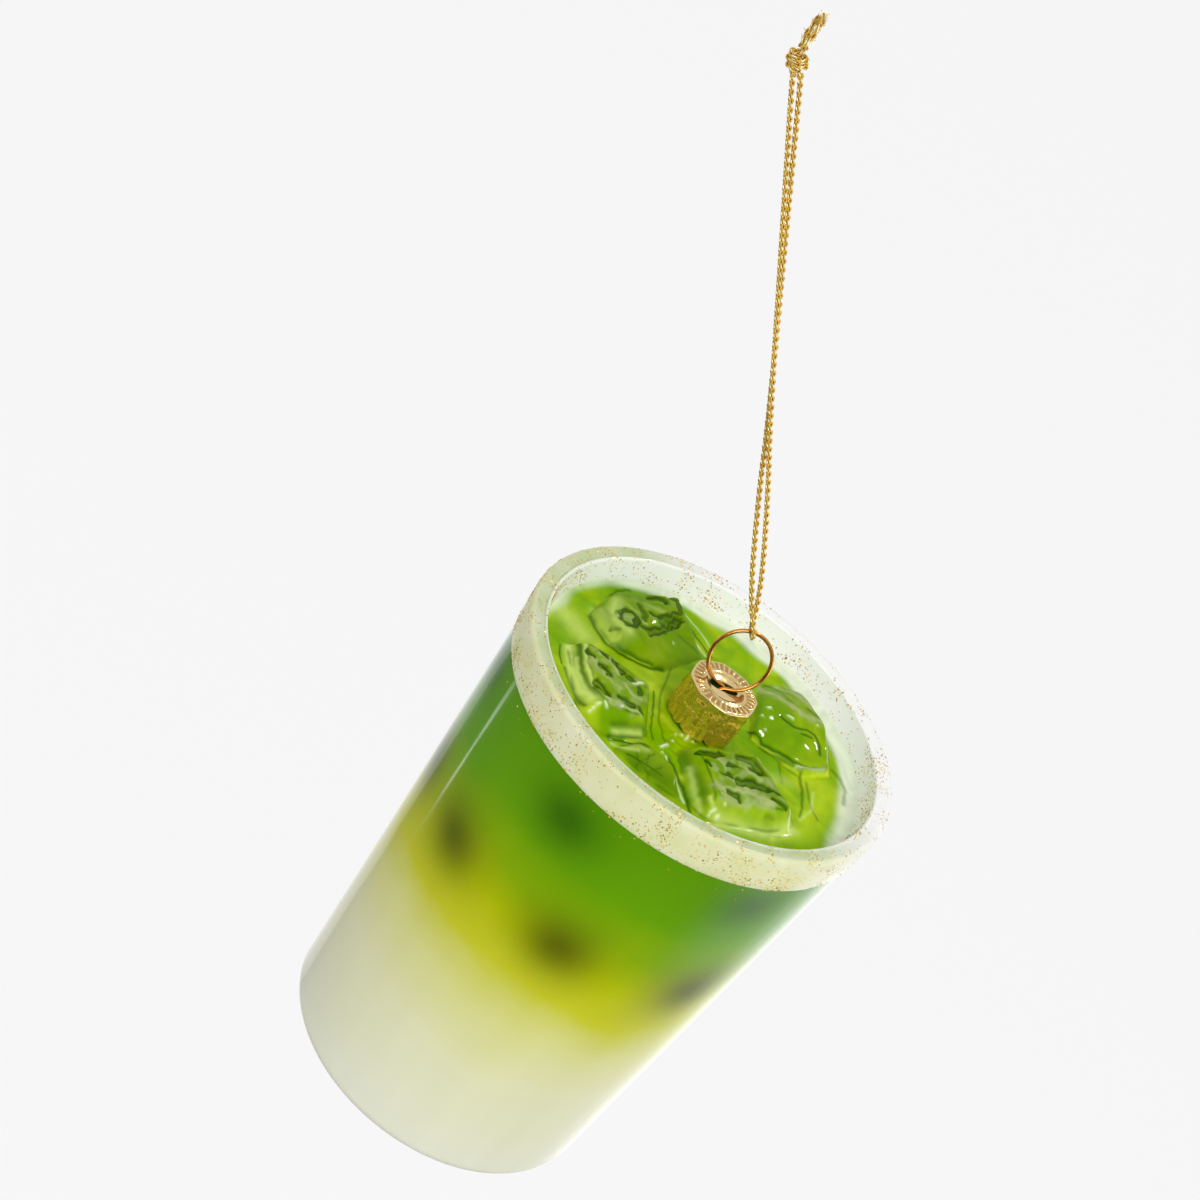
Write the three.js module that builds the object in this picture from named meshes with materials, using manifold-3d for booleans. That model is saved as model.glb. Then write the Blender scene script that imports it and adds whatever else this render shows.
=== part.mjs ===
// A blown glass tree ornament in the form of an iced green tea drink: a tapered glass with a
// frosted rim, lumps of ice in the drink's surface, a stamped cap on the neck that stands up
// through the drink, a sprung wire hanger and a knotted loop of braided cord.
//
// Millimetres, +Z up the glass. The origin is the centre of the glass's flat base. +X runs to
// the right of the side that is seen first and +Y away from it.

import * as THREE from 'three';
import { ConvexGeometry } from 'three/addons/geometries/ConvexGeometry.js';
import { mergeVertices } from 'three/addons/utils/BufferGeometryUtils.js';
import Module from 'manifold-3d';

// Glass
const GLASS_HEIGHT = 83.8; // base to the top of the lip
const BASE_RADIUS = 25.85; // the straight wall carried down to the base
const LIP_RADIUS = 31.5; // outside of the rim band
const BASE_CORNER = 2.8; // radius round the edge of the base
const GLASS_WALL = 1.1; // thickness of the blown wall
const RIM_HEIGHT = 7.0; // frosted band, down from the lip
const RIM_PROUD = 0.3; // how far the band stands off the wall
const LIP_WIDTH = 2.9; // the rim folded double, outside to inside
const DRINK_DEPTH = 4.7; // from the lip down to the drink's surface
const RECESS_DRAFT = 0.6; // how much narrower the recess is at the drink than at the lip
const RECESS_FILLET = 0.8; // where the recess meets the drink
const ICE_UNDERCUT = 0.55; // how far a lump's outline is carried down into the drink
const ICE_WALL_DRAW = 1.3; // a lump's hollow stands in by this many walls at its sides
const ICE_WALL_DROP = 1.1; // and by this many under its faces

// Neck that stands in the middle of the drink, under the cap
const NECK_HEIGHT = 6.85; // above the drink's surface
const NECK_WALL = 0.6;
const NECK_FLARE = 0.9; // the bore opens by this much into the glass
const NECK_FILLET = 0.5; // where the neck rises from the drink

// Stamped cap
const CAP_RADIUS = 5.8; // to the corners of the crown
const CAP_SHEET = 0.25; // thickness of the metal
const CAP_SIDES = 8;
const CAP_FACETING = 0.6; // 0 is a round crown and 1 a sharp polygon
const SKIRT_LENGTH = 6.3; // crown to the hem's valleys
const HEM_SCALLOP = 0.4; // how far the hem's lobes hang below its valleys
const FLUTE_DEPTH = 0.16; // crimps in the skirt
const CAP_CLEARANCE = 0.22; // skirt to neck
const SEAT_GAP = 0.3; // crown to the lip of the neck
const RIDGE_COUNT = 32; // radial ridges pressed into the crown
const RIDGE_HEIGHT = 0.16;
const BEAD_RADIUS = 3.3; // raised ring round the dish
const BEAD_HEIGHT = 0.28;
const DISH_DEPTH = 0.3; // the slot's edge lies this far below the crown
const SLOT_LENGTH = 4.8;
const SLOT_WIDTH = 2.2;
const SLOT_FULLNESS = 2.6; // 2 is an ellipse, more is squarer
const SLOT_OFFSET = 0.45; // from the middle of the cap, across the slot
const SLOT_ANGLE = 22.5; // the slot's heading from +X, degrees
const DISH_STEP = 0.45; // inside the bead's crest, where the dish starts
const DISH_LIP = 0.1; // the dish's edge lies this far below the crown
const BEAD_SLOPE = 0.4; // bead's crest to the flat outside it
const RIDGE_START = 0.75; // bead's crest to the ridges' inner ends
const RIDGE_END = 0.55; // ridges' outer ends to the crown's edge
const SHOULDER_WIDTH = 0.2; // rounded edge of the crown, across
const SHOULDER_DROP = 0.3; // and down
const SKIRT_START = 0.6; // below the crown, where the crimps begin
const CRIMP_DETAIL = 0.4; // small crimps beside the large ones, as a share

// Hanger: one piece of spring wire, a ring above the slot and two crossed legs below it
const WIRE_DIAMETER = 0.62;
const RING_DIAMETER = 9.6; // on the wire's centre line
const WIRE_CLEARANCE = 0.3; // the ring's wire to the ends of the slot
const RING_OPEN = 14; // each side of the ring's foot, where the wire leaves the circle, degrees
const CROSSING_GAP = 0.18; // between the two legs where they cross
const LEG_SPREAD = 1.25; // a leg's distance from the middle, inside the neck
const LEG_FLARE = 6.4; // a leg's distance from the middle at its foot
const LEG_REACH = 11.0; // how far the legs run on below the neck
const RING_LEAN = 16; // the ring leans away from the front, degrees
const RING_POINTS = 24; // round the ring
const RING_BLEND = 4; // points over which a leg comes into the ring's plane

// Cord: one length of braid, through the ring, knotted, with two short tails
const CORD_DIAMETER = 0.75;
const CORD_LEAN = 26.5; // from the ring's middle line, in the ring's plane, degrees
const BIGHT_ANGLE = 8.5; // where the cord bears on the ring, degrees
const BIGHT_RADIUS = 0.84; // the turn round the wire, on the cord's centre line
const KNOT_DISTANCE = 87.1; // ring's wire to the middle of the knot
const KNOT_TURN = 1.12; // radius of the knot's turns, on their centre line
const KNOT_STRAND = 0.62; // half the thickness of a turn, two strands laid together
const KNOT_FOOT = 0.46; // how far the knot's underside bulges below its turns' centre lines
const KNOT_TURNS = [[22, 12, -0.35], [-38, -20, 0.25], [8, 52, 0]]; // [tilt x, tilt y, height]
const END_GAP = 0.3; // each cut stretch of cord to the knot
const LONG_TAIL = 6.3;
const SHORT_TAIL = 5.6;
const TAIL_SPREAD = 0.62; // half the distance between the tails
const TAIL_SWAY = 0.35; // how far a tail bows outwards
const TAIL_LEAN_X = 32; // degrees from the cord's line
const TAIL_LEAN_Y = 9;

// Facets
const GLASS_FACETS = 60;
const CAP_FACETS = RIDGE_COUNT * 4;
const WIRE_SIDES = 8;
const CORD_SIDES = 8;
const TUBE_STEPS = 3; // between one point of a wire or cord and the next

// Places worked out from the sizes above
const drinkLevel = GLASS_HEIGHT - DRINK_DEPTH;
const neckTop = drinkLevel + NECK_HEIGHT;
const crownTop = neckTop + SEAT_GAP + CAP_SHEET;
const crownFlat = CAP_RADIUS * (1 - CAP_FACETING * (1 - Math.cos(Math.PI / CAP_SIDES)));
const neckRadius = crownFlat - CAP_SHEET - (1 + CRIMP_DETAIL) * FLUTE_DEPTH - CAP_CLEARANCE;
const boreRadius = neckRadius - NECK_WALL;
const slotLevel = crownTop - DISH_DEPTH - CAP_SHEET / 2;
const wireRadius = WIRE_DIAMETER / 2;
const ringRadius = RING_DIAMETER / 2;
const ringReach = ringRadius + wireRadius + WIRE_CLEARANCE;
const ringRise = CAP_SHEET / 2 + Math.sqrt(ringReach ** 2 - (SLOT_LENGTH / 2) ** 2);
const bodySlope = (LIP_RADIUS - RIM_PROUD - BASE_RADIUS) / GLASS_HEIGHT;
const radians = (degrees) => (degrees * Math.PI) / 180;
const wallRadius = (z) => BASE_RADIUS + bodySlope * z;

// The lumps of ice, each as its upper corners [x, y, height above the drink] and the outline
// [x, y] in which it meets the drink
const ICE = [
  {
    name: 'back left',
    hollow: true,
    crest: [
      [-13.2, 19.6, 3.4], [-16.8, 3.2, 2.9], [-5.4, 14.0, 0.8], [-8.7, 6.2, 1.2],
      [-21.2, 13.0, 1.5], [-21.8, 5.4, 1.6],
    ],
    foot: [[-4.2, 14.6], [-8.3, 4.4], [-16.9, 1.2], [-22.8, 4.8], [-22.2, 13.8], [-13.2, 21.4]],
  },
  {
    name: 'front left',
    hollow: true,
    crest: [[-20.2, -4.9, 2.6], [-9.2, -3.9, 2.6], [-6.9, -11.8, 2.5], [-13.5, -16.1, 3.3]],
    foot: [[-23.4, -5.2], [-9.0, -2.2], [-4.6, -12.4], [-9.6, -19.8], [-15.6, -19.2]],
  },
  {
    name: 'front right',
    hollow: true,
    crest: [[10.0, -1.6, 2.6], [18.1, -7.4, 2.6], [8.2, -17.2, 3.2], [1.9, -9.4, 2.6]],
    foot: [[10.6, 0.4], [20.8, -7.4], [18.4, -13.0], [9.0, -20.8], [4.6, -20.3], [-0.6, -10.0]],
  },
  {
    name: 'back right',
    hollow: true,
    crest: [
      [6.6, 12.8, 2.4], [15.8, 17.0, 2.9], [20.0, 8.8, 2.2], [17.4, 5.3, 1.8],
      [8.2, 4.6, 1.2], [10.4, 22.8, 1.0],
    ],
    foot: [[4.8, 19.8], [11.0, 24.6], [18.2, 18.4], [21.8, 9.6], [18.0, 3.6], [8.0, 3.4], [5.0, 11.6]],
  },
  {
    name: 'front wedge',
    hollow: false,
    crest: [[-4.6, -15.2, 1.5], [0.4, -15.8, 1.6], [-7.4, -19.2, 0.7], [3.2, -19.8, 0.8]],
    foot: [[-5.6, -13.8], [1.4, -14.4], [4.8, -21.0], [-9.2, -21.4]],
  },
  {
    name: 'right sliver',
    hollow: false,
    crest: [
      [18.6, 0.2, 1.0], [22.4, 1.8, 0.8], [23.8, -4.6, 0.8], [21.6, -9.8, 0.6], [19.4, -4.0, 0.9],
    ],
    foot: [[16.8, 1.8], [23.6, 3.4], [25.4, -4.8], [22.4, -12.2], [19.2, -6.4]],
  },
];

const wasm = await Module();
wasm.setup();

// Leaves only positions, shares them between faces, and drops faces of no area.
function welded(geometry) {
  const bare = geometry.clone();
  for (const name of Object.keys(bare.attributes)) {
    if (name !== 'position') bare.deleteAttribute(name);
  }
  const merged = mergeVertices(bare, 1e-4);
  const index = merged.index.array;
  const kept = [];
  for (let i = 0; i < index.length; i += 3) {
    const [a, b, c] = [index[i], index[i + 1], index[i + 2]];
    if (a !== b && b !== c && c !== a) kept.push(a, b, c);
  }
  merged.setIndex(kept);
  return merged;
}

function solidOf(geometry) {
  const bare = welded(geometry);
  return new wasm.Manifold(new wasm.Mesh({
    numProp: 3,
    vertProperties: Float32Array.from(bare.attributes.position.array),
    triVerts: Uint32Array.from(bare.index.array),
  }));
}

function geometryOf(solid) {
  const mesh = solid.getMesh();
  const geometry = new THREE.BufferGeometry();
  geometry.setAttribute('position', new THREE.BufferAttribute(mesh.vertProperties, 3));
  geometry.setIndex(new THREE.BufferAttribute(mesh.triVerts, 1));
  geometry.computeVertexNormals();
  return geometry;
}

function mesh(name, geometry, material) {
  const made = new THREE.Mesh(geometry, material);
  made.name = name;
  return made;
}

// Points on an arc in the profile's plane, both ends included.
function arc(radius, height, size, from, to, steps) {
  return Array.from({ length: steps + 1 }, (_, i) => {
    const angle = radians(from + ((to - from) * i) / steps);
    return new THREE.Vector2(radius + size * Math.cos(angle), height + size * Math.sin(angle));
  });
}

// A profile of [radius, height] turned about +Z.
function turned(points, facets) {
  return new THREE.LatheGeometry(points, facets).rotateX(Math.PI / 2);
}

// Closed outlines joined in order, the last to the first, as a tube's wall joins its own start.
function loft(rings) {
  const around = rings[0].length;
  const geometry = new THREE.BufferGeometry().setFromPoints(rings.flat());
  const index = [];
  rings.forEach((_, r) => {
    const here = r * around;
    const next = ((r + 1) % rings.length) * around;
    for (let k = 0; k < around; k += 1) {
      const l = (k + 1) % around;
      index.push(here + k, next + l, here + l, here + k, next + k, next + l);
    }
  });
  geometry.setIndex(index);
  geometry.computeVertexNormals();
  return geometry;
}

function roundSection(radius, sides) {
  const points = Array.from({ length: sides }, (_, i) => {
    const angle = (2 * Math.PI * i) / sides;
    return new THREE.Vector2(radius * Math.cos(angle), radius * Math.sin(angle));
  });
  return new THREE.Shape(points);
}

// A smooth curve that shares its steps out evenly between its points, so that a tight turn with
// close points gets as many as a long straight.
class StationedCurve extends THREE.CatmullRomCurve3 {
  getPointAt(share, target) {
    return this.getPoint(share, target);
  }

  getTangentAt(share, target) {
    return this.getTangent(share, target);
  }
}

function tube(points, diameter, sides) {
  const path = new StationedCurve(points, false, 'centripetal');
  const steps = TUBE_STEPS * (points.length - 1);
  const settings = { steps, extrudePath: path, bevelEnabled: false };
  return new THREE.ExtrudeGeometry(roundSection(diameter / 2, sides), settings);
}

// The blown glass, all but its ice: foot, wall, rim folded over, drink, neck, and the inside
function glassProfile() {
  const lip = LIP_WIDTH / 2;
  const bandFoot = GLASS_HEIGHT - RIM_HEIGHT;
  const ceiling = drinkLevel - GLASS_WALL;
  const recessRadius = LIP_RADIUS - LIP_WIDTH - RECESS_DRAFT;
  const innerCorner = BASE_CORNER - GLASS_WALL / 2;
  const innerWall = wallRadius(BASE_CORNER) - GLASS_WALL - innerCorner;
  const neckLip = NECK_WALL / 2;
  const v = (radius, height) => new THREE.Vector2(radius, height);
  return [
    v(0, 0),
    ...arc(wallRadius(BASE_CORNER) - BASE_CORNER, BASE_CORNER, BASE_CORNER, -90, 0, 6),
    v(wallRadius(bandFoot), bandFoot),
    v(wallRadius(bandFoot) + RIM_PROUD, bandFoot + RIM_PROUD),
    ...arc(LIP_RADIUS - lip, GLASS_HEIGHT - lip, lip, 0, 180, 8),
    ...arc(recessRadius - RECESS_FILLET, drinkLevel + RECESS_FILLET, RECESS_FILLET, 0, -90, 3),
    ...arc(neckRadius + NECK_FILLET, drinkLevel + NECK_FILLET, NECK_FILLET, 270, 180, 3),
    ...arc(neckRadius - neckLip, neckTop - neckLip, neckLip, 0, 180, 4),
    ...arc(boreRadius + NECK_FLARE, ceiling + NECK_FLARE, NECK_FLARE, 180, 270, 3),
    ...arc(wallRadius(ceiling) - 2 * GLASS_WALL, ceiling - GLASS_WALL, GLASS_WALL, 90, 0, 3),
    ...arc(innerWall, GLASS_WALL + innerCorner, innerCorner, 0, -90, 4),
    v(0, GLASS_WALL),
  ];
}

// One lump of ice, or the hollow inside it when inset by the wall
function iceLump(lump, inset) {
  const middle = new THREE.Vector2();
  lump.foot.forEach(([x, y]) => middle.add(new THREE.Vector2(x, y).divideScalar(lump.foot.length)));
  const corner = (x, y, rise) => {
    const arm = new THREE.Vector2(x, y).sub(middle);
    arm.setLength(Math.max(arm.length() - ICE_WALL_DRAW * inset, inset / 2)).add(middle);
    return new THREE.Vector3(arm.x, arm.y, drinkLevel + rise - ICE_WALL_DROP * inset);
  };
  const corners = [
    ...lump.crest.map(([x, y, rise]) => corner(x, y, rise)),
    ...lump.foot.map(([x, y]) => corner(x, y, -ICE_UNDERCUT)),
  ];
  return solidOf(new ConvexGeometry(corners));
}

function glassBody() {
  let glass = solidOf(turned(glassProfile(), GLASS_FACETS));
  ICE.forEach((lump) => { glass = glass.add(iceLump(lump, 0)); });
  ICE.filter((lump) => lump.hollow).forEach((lump) => {
    glass = glass.subtract(iceLump(lump, GLASS_WALL));
  });
  return geometryOf(glass);
}

// One outline of the cap. shape gives the radius and height at each heading; shift moves it
// across the slot.
function capRing(shape, shift = 0) {
  return Array.from({ length: CAP_FACETS }, (_, k) => {
    const heading = (2 * Math.PI * k) / CAP_FACETS;
    const [radius, height] = shape(heading, k);
    return new THREE.Vector3(radius * Math.cos(heading), radius * Math.sin(heading) + shift, height);
  });
}

// 1 at the crown's corners, less across its flats
function crownShape(heading) {
  const side = (2 * Math.PI) / CAP_SIDES;
  const off = (((heading % side) + side) % side) - side / 2;
  return 1 - CAP_FACETING * (1 - Math.cos(side / 2) / Math.cos(off));
}

function slotRadius(heading) {
  const along = Math.abs(Math.cos(heading)) / (SLOT_LENGTH / 2);
  const across = Math.abs(Math.sin(heading)) / (SLOT_WIDTH / 2);
  return (along ** SLOT_FULLNESS + across ** SLOT_FULLNESS) ** (-1 / SLOT_FULLNESS);
}

// Crimps deepen from the crown, at share 0, to the hem, at share 1
function skirtRadius(heading, share, inset) {
  const small = CRIMP_DETAIL * Math.cos(3 * CAP_SIDES * heading + 0.9);
  const crimp = Math.cos(CAP_SIDES * heading) + small;
  return CAP_RADIUS * crownShape(heading) - inset + FLUTE_DEPTH * share * crimp;
}

// The sheet's outline from the slot out to the hem on the outside, and back on the inside
function stampedCap() {
  const sheet = CAP_SHEET;
  const perRidge = CAP_FACETS / RIDGE_COUNT;
  const ridge = (k) => (k % perRidge === 1 ? RIDGE_HEIGHT : 0);
  const edge = (heading) => CAP_RADIUS * crownShape(heading);
  const lobe = (heading) => HEM_SCALLOP * Math.abs(Math.sin((CAP_SIDES / 2) * heading));
  const hem = (heading) => crownTop - SKIRT_LENGTH - lobe(heading);
  const flat = (radius, height) => () => [radius, height];
  const skirt = (share, inset) => (heading) => {
    const top = crownTop - SKIRT_START;
    return [skirtRadius(heading, share, inset), top + share * (hem(heading) - top)];
  };
  const slot = (depth) => capRing((h) => [slotRadius(h), crownTop - depth], SLOT_OFFSET);
  return loft([
    slot(DISH_DEPTH),
    capRing(flat(BEAD_RADIUS - DISH_STEP, crownTop - DISH_LIP)),
    capRing(flat(BEAD_RADIUS, crownTop + BEAD_HEIGHT)),
    capRing(flat(BEAD_RADIUS + BEAD_SLOPE, crownTop)),
    capRing((h, k) => [BEAD_RADIUS + RIDGE_START, crownTop + ridge(k)]),
    capRing((h, k) => [edge(h) - RIDGE_END, crownTop + ridge(k)]),
    capRing((h) => [edge(h) - SHOULDER_WIDTH, crownTop - SHOULDER_DROP / 6]),
    capRing((h) => [edge(h), crownTop - SHOULDER_DROP]),
    capRing(skirt(0.35, 0)),
    capRing(skirt(0.7, 0)),
    capRing(skirt(1, 0)),
    capRing(skirt(1, sheet)),
    capRing(skirt(0.35, sheet)),
    capRing((h) => [edge(h) - sheet, crownTop - SHOULDER_DROP - sheet]),
    capRing((h) => [edge(h) - RIDGE_END, crownTop - sheet]),
    capRing(flat(BEAD_RADIUS + BEAD_SLOPE, crownTop - sheet)),
    capRing(flat(BEAD_RADIUS, crownTop + BEAD_HEIGHT - sheet)),
    capRing(flat(BEAD_RADIUS - DISH_STEP, crownTop - DISH_LIP - sheet)),
    slot(DISH_DEPTH + sheet),
  ]);
}

// The wire's centre line, from one foot up through the slot, round the ring and down again.
// X runs along the slot, Y across it and Z up the ring; the slot is at the origin.
function hangerPath() {
  const offset = (WIRE_DIAMETER + CROSSING_GAP) / 2;
  const open = radians(RING_OPEN);
  const crossing = ringRise - ringRadius - CROSSING_GAP;
  const neckDepth = slotLevel - (drinkLevel - GLASS_WALL);
  const leg = [
    [LEG_FLARE, -neckDepth - LEG_REACH],
    [LEG_FLARE * 0.66, -neckDepth - LEG_REACH * 0.62],
    [LEG_SPREAD * 1.4, -neckDepth - LEG_REACH * 0.22],
    [LEG_SPREAD, -neckDepth * 0.8],
    [LEG_SPREAD, -neckDepth * 0.45],
    [LEG_SPREAD * 0.96, crossing - 3 * WIRE_DIAMETER],
    [LEG_SPREAD * 0.72, crossing - 1.3 * WIRE_DIAMETER],
    [0, crossing],
  ];
  const ring = Array.from({ length: RING_POINTS + 1 }, (_, i) => {
    const angle = open + ((2 * Math.PI - 2 * open) * i) / RING_POINTS;
    const blend = Math.min(1, Math.min(i, RING_POINTS - i) / RING_BLEND);
    const side = i < RING_POINTS / 2 ? -1 : 1;
    const height = ringRise - ringRadius * Math.cos(angle);
    return new THREE.Vector3(ringRadius * Math.sin(angle), side * offset * (1 - blend), height);
  });
  const down = leg.map(([x, z]) => new THREE.Vector3(-x, -offset, z));
  const up = leg.map(([x, z]) => new THREE.Vector3(x, offset, z)).reverse();
  return [...down, ...ring, ...up];
}

// Stations along both strands: distance from the ring, half the gap between their centre
// lines, and the heading of the pair, which twists slowly on the way to the knot
const STRANDS = [
  [0.6, 0.84, 0], [2.4, 0.78, 22], [5, 0.7, 52], [9, 0.72, 84], [15, 0.72, 100], [23, 0.66, 132],
  [32, 0.62, 172], [42, 0.62, 192], [53, 0.62, 206], [64, 0.62, 222], [74, 0.6, 240], [81, 0.6, 258],
  [KNOT_DISTANCE - KNOT_TURN - KNOT_FOOT - END_GAP, 0.6, 270],
];

// The cord's centre line from the knot down, round the ring's wire and back. The wire's centre
// is the origin, Z runs up the cord and Y across the ring.
function loopPath() {
  const strand = (side) => STRANDS.map(([z, half, heading]) => {
    const angle = radians(heading);
    return new THREE.Vector3(side * half * Math.sin(angle), side * half * Math.cos(angle), z);
  });
  const bight = [0, 45, 90, 135, 180].map((degrees) => {
    const angle = radians(degrees);
    return new THREE.Vector3(0, BIGHT_RADIUS * Math.cos(angle), -BIGHT_RADIUS * Math.sin(angle));
  });
  return [...strand(1).reverse(), ...bight, ...strand(-1)];
}

// An overhand knot drawn tight: three turns of the doubled cord that lock over each other
function knotBody() {
  let knot = solidOf(new THREE.SphereGeometry(KNOT_TURN, 10, 8));
  KNOT_TURNS.forEach(([tiltX, tiltY, height]) => {
    const turn = new THREE.TorusGeometry(KNOT_TURN, KNOT_STRAND, 8, 16);
    turn.rotateX(radians(tiltX)).rotateY(radians(tiltY)).translate(0, 0, height);
    knot = knot.add(solidOf(turn));
  });
  return geometryOf(knot).translate(0, 0, KNOT_DISTANCE);
}

// One cut end of the cord, from just above the knot
function tail(side, length) {
  const leanX = Math.tan(radians(TAIL_LEAN_X));
  const leanY = Math.tan(radians(TAIL_LEAN_Y));
  const along = new THREE.Vector3(leanX, leanY, 1).normalize();
  const across = new THREE.Vector3(1, 0, 0).cross(along).normalize();
  const start = KNOT_TURN + KNOT_STRAND + END_GAP;
  const points = [0, 0.3, 0.65, 1].map((share) => {
    const point = new THREE.Vector3(TAIL_SWAY * Math.sin(Math.PI * share) * side, 0, KNOT_DISTANCE);
    point.addScaledVector(across, side * TAIL_SPREAD);
    return point.addScaledVector(along, start + share * length);
  });
  return tube(points, CORD_DIAMETER, CORD_SIDES);
}

const glassFinish = new THREE.MeshStandardMaterial({ color: 0x7fae1c, roughness: 0.06, metalness: 0 });
const capFinish = new THREE.MeshStandardMaterial({ color: 0xd9b566, roughness: 0.22, metalness: 1 });
const wireFinish = new THREE.MeshStandardMaterial({ color: 0xa5692a, roughness: 0.25, metalness: 1 });
const cordFinish = new THREE.MeshStandardMaterial({ color: 0xc08a1e, roughness: 0.35, metalness: 0.8 });

const ornament = new THREE.Group();
ornament.add(mesh('glass_body', glassBody(), glassFinish));

const capFrame = new THREE.Group();
capFrame.rotation.z = radians(SLOT_ANGLE);
capFrame.add(mesh('stamped_cap', stampedCap(), capFinish));
ornament.add(capFrame);

const ringFrame = new THREE.Group();
ringFrame.position.set(0, SLOT_OFFSET, slotLevel);
ringFrame.rotation.x = -radians(RING_LEAN);
ringFrame.add(mesh('hanger_wire', tube(hangerPath(), WIRE_DIAMETER, WIRE_SIDES), wireFinish));
capFrame.add(ringFrame);

const bight = radians(BIGHT_ANGLE);
const cordFrame = new THREE.Group();
cordFrame.position.set(-ringRadius * Math.sin(bight), 0, ringRise + ringRadius * Math.cos(bight));
cordFrame.rotation.y = -radians(CORD_LEAN);
cordFrame.add(
  mesh('cord_loop', tube(loopPath(), CORD_DIAMETER, CORD_SIDES), cordFinish),
  mesh('cord_knot', knotBody(), cordFinish),
  mesh('cord_tail_long', tail(1, LONG_TAIL), cordFinish),
  mesh('cord_tail_short', tail(-1, SHORT_TAIL), cordFinish),
);
ringFrame.add(cordFrame);

export default ornament;
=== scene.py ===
"""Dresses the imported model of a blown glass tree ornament: an iced green tea drink on a cord.

The classes hold their sizes in millimetres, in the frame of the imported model: +Z up the glass and
the origin in the middle of its base. Meshes are made in metres.
"""

import logging
import math
from abc import ABC, abstractmethod
from collections.abc import Callable, Iterable, Sequence
from dataclasses import dataclass, field
from enum import Enum
from functools import partial
from typing import Any

import bmesh
import bpy
import numpy as np
from mathutils import Matrix, Vector


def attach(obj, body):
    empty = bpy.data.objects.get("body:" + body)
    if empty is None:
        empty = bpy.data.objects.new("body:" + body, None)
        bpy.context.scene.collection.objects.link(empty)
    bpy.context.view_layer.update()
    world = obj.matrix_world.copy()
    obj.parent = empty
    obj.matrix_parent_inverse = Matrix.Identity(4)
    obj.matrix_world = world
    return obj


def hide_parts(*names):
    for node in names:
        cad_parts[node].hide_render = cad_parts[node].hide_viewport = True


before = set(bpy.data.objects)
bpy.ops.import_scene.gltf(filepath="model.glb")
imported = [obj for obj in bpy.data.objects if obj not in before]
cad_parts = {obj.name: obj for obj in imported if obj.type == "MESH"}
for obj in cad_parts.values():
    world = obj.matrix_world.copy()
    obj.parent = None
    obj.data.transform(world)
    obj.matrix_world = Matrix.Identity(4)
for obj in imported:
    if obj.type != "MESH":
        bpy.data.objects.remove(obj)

MM = 0.001
FULL_TURN = 2 * math.pi
log = logging.getLogger("ornament")

Point = tuple[float, float]
Corner = tuple[float, float, float]
Profile = list[Point]
AddNode = Callable[..., bpy.types.Node]


class Body(str, Enum):
    """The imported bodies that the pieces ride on."""

    CORD = "cord"
    HANGER = "hanger"
    CAP = "cap"
    GLASS = "glass"


class Slot(str, Enum):
    """The material slots."""

    GLASS = "painted_glass"
    CAP = "gold_tinplate"
    WIRE = "copper_wire"
    CORD = "gold_cord"


def srgb(code: str) -> tuple[float, float, float, float]:
    """Turn an sRGB hex code into a linear colour.

    Args:
        code: Six hex digits, red first.

    Returns:
        Red, green, blue and alpha.
    """
    shares = [int(code[i:i + 2], 16) / 255 for i in (0, 2, 4)]
    linear = [s / 12.92 if s <= 0.04045 else ((s + 0.055) / 1.055) ** 2.4 for s in shares]
    return (linear[0], linear[1], linear[2], 1.0)


def per_mm(size: float) -> float:
    """Return the texture scale that gives features of a size in millimetres."""
    return 1 / (size * MM)


def add_node(tree: bpy.types.NodeTree, kind: str, inputs: dict[str | int, Any] | None = None,
             stops: Sequence[tuple[float, str]] = (), **settings: Any) -> bpy.types.Node:
    """Add a node to a tree with its settings and links.

    Args:
        tree: The material's or the geometry's node tree.
        kind: The node's type.
        inputs: A value, a socket to link or a node whose first output in use is linked, for each
            input by name or place.
        stops: Positions and hex colours, for a colour ramp.
        settings: Properties of the node itself.

    Returns:
        The new node.
    """
    node = tree.nodes.new(kind)
    for name, value in settings.items():
        setattr(node, name, value)
    for name, value in (inputs or {}).items():
        if isinstance(value, bpy.types.Node):
            value = next(socket for socket in value.outputs if socket.enabled)
        if isinstance(value, bpy.types.NodeSocket):
            tree.links.new(value, node.inputs[name])
        else:
            node.inputs[name].default_value = value
    for place, (position, code) in enumerate(stops):
        elements = node.color_ramp.elements
        element = elements[place] if place < 2 else elements.new(position)
        element.position = position
        element.color = srgb(code)
    return node


def new_material(name: str) -> tuple[bpy.types.Material, bpy.types.NodeTree]:
    """Make an empty node material.

    Args:
        name: The finish's name.

    Returns:
        The material and its node tree.
    """
    material = bpy.data.materials.new(name)
    material.use_nodes = True
    material.node_tree.nodes.clear()
    return material, material.node_tree


@dataclass(frozen=True)
class Finish(ABC):
    """A named material, built from nodes."""

    name: str

    @abstractmethod
    def surface(self, node: AddNode, coords: bpy.types.NodeSocket) -> bpy.types.Node:
        """Add the nodes up to the shader.

        Args:
            node: Adds a node to the material's tree.
            coords: Places on the piece, in metres.

        Returns:
            The shader.
        """

    def build(self) -> bpy.types.Material:
        """Build the material."""
        material, tree = new_material(self.name)
        node = partial(add_node, tree)
        coords = node("ShaderNodeTexCoord").outputs["Object"]
        node("ShaderNodeOutputMaterial", {"Surface": self.surface(node, coords)})
        return material


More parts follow.
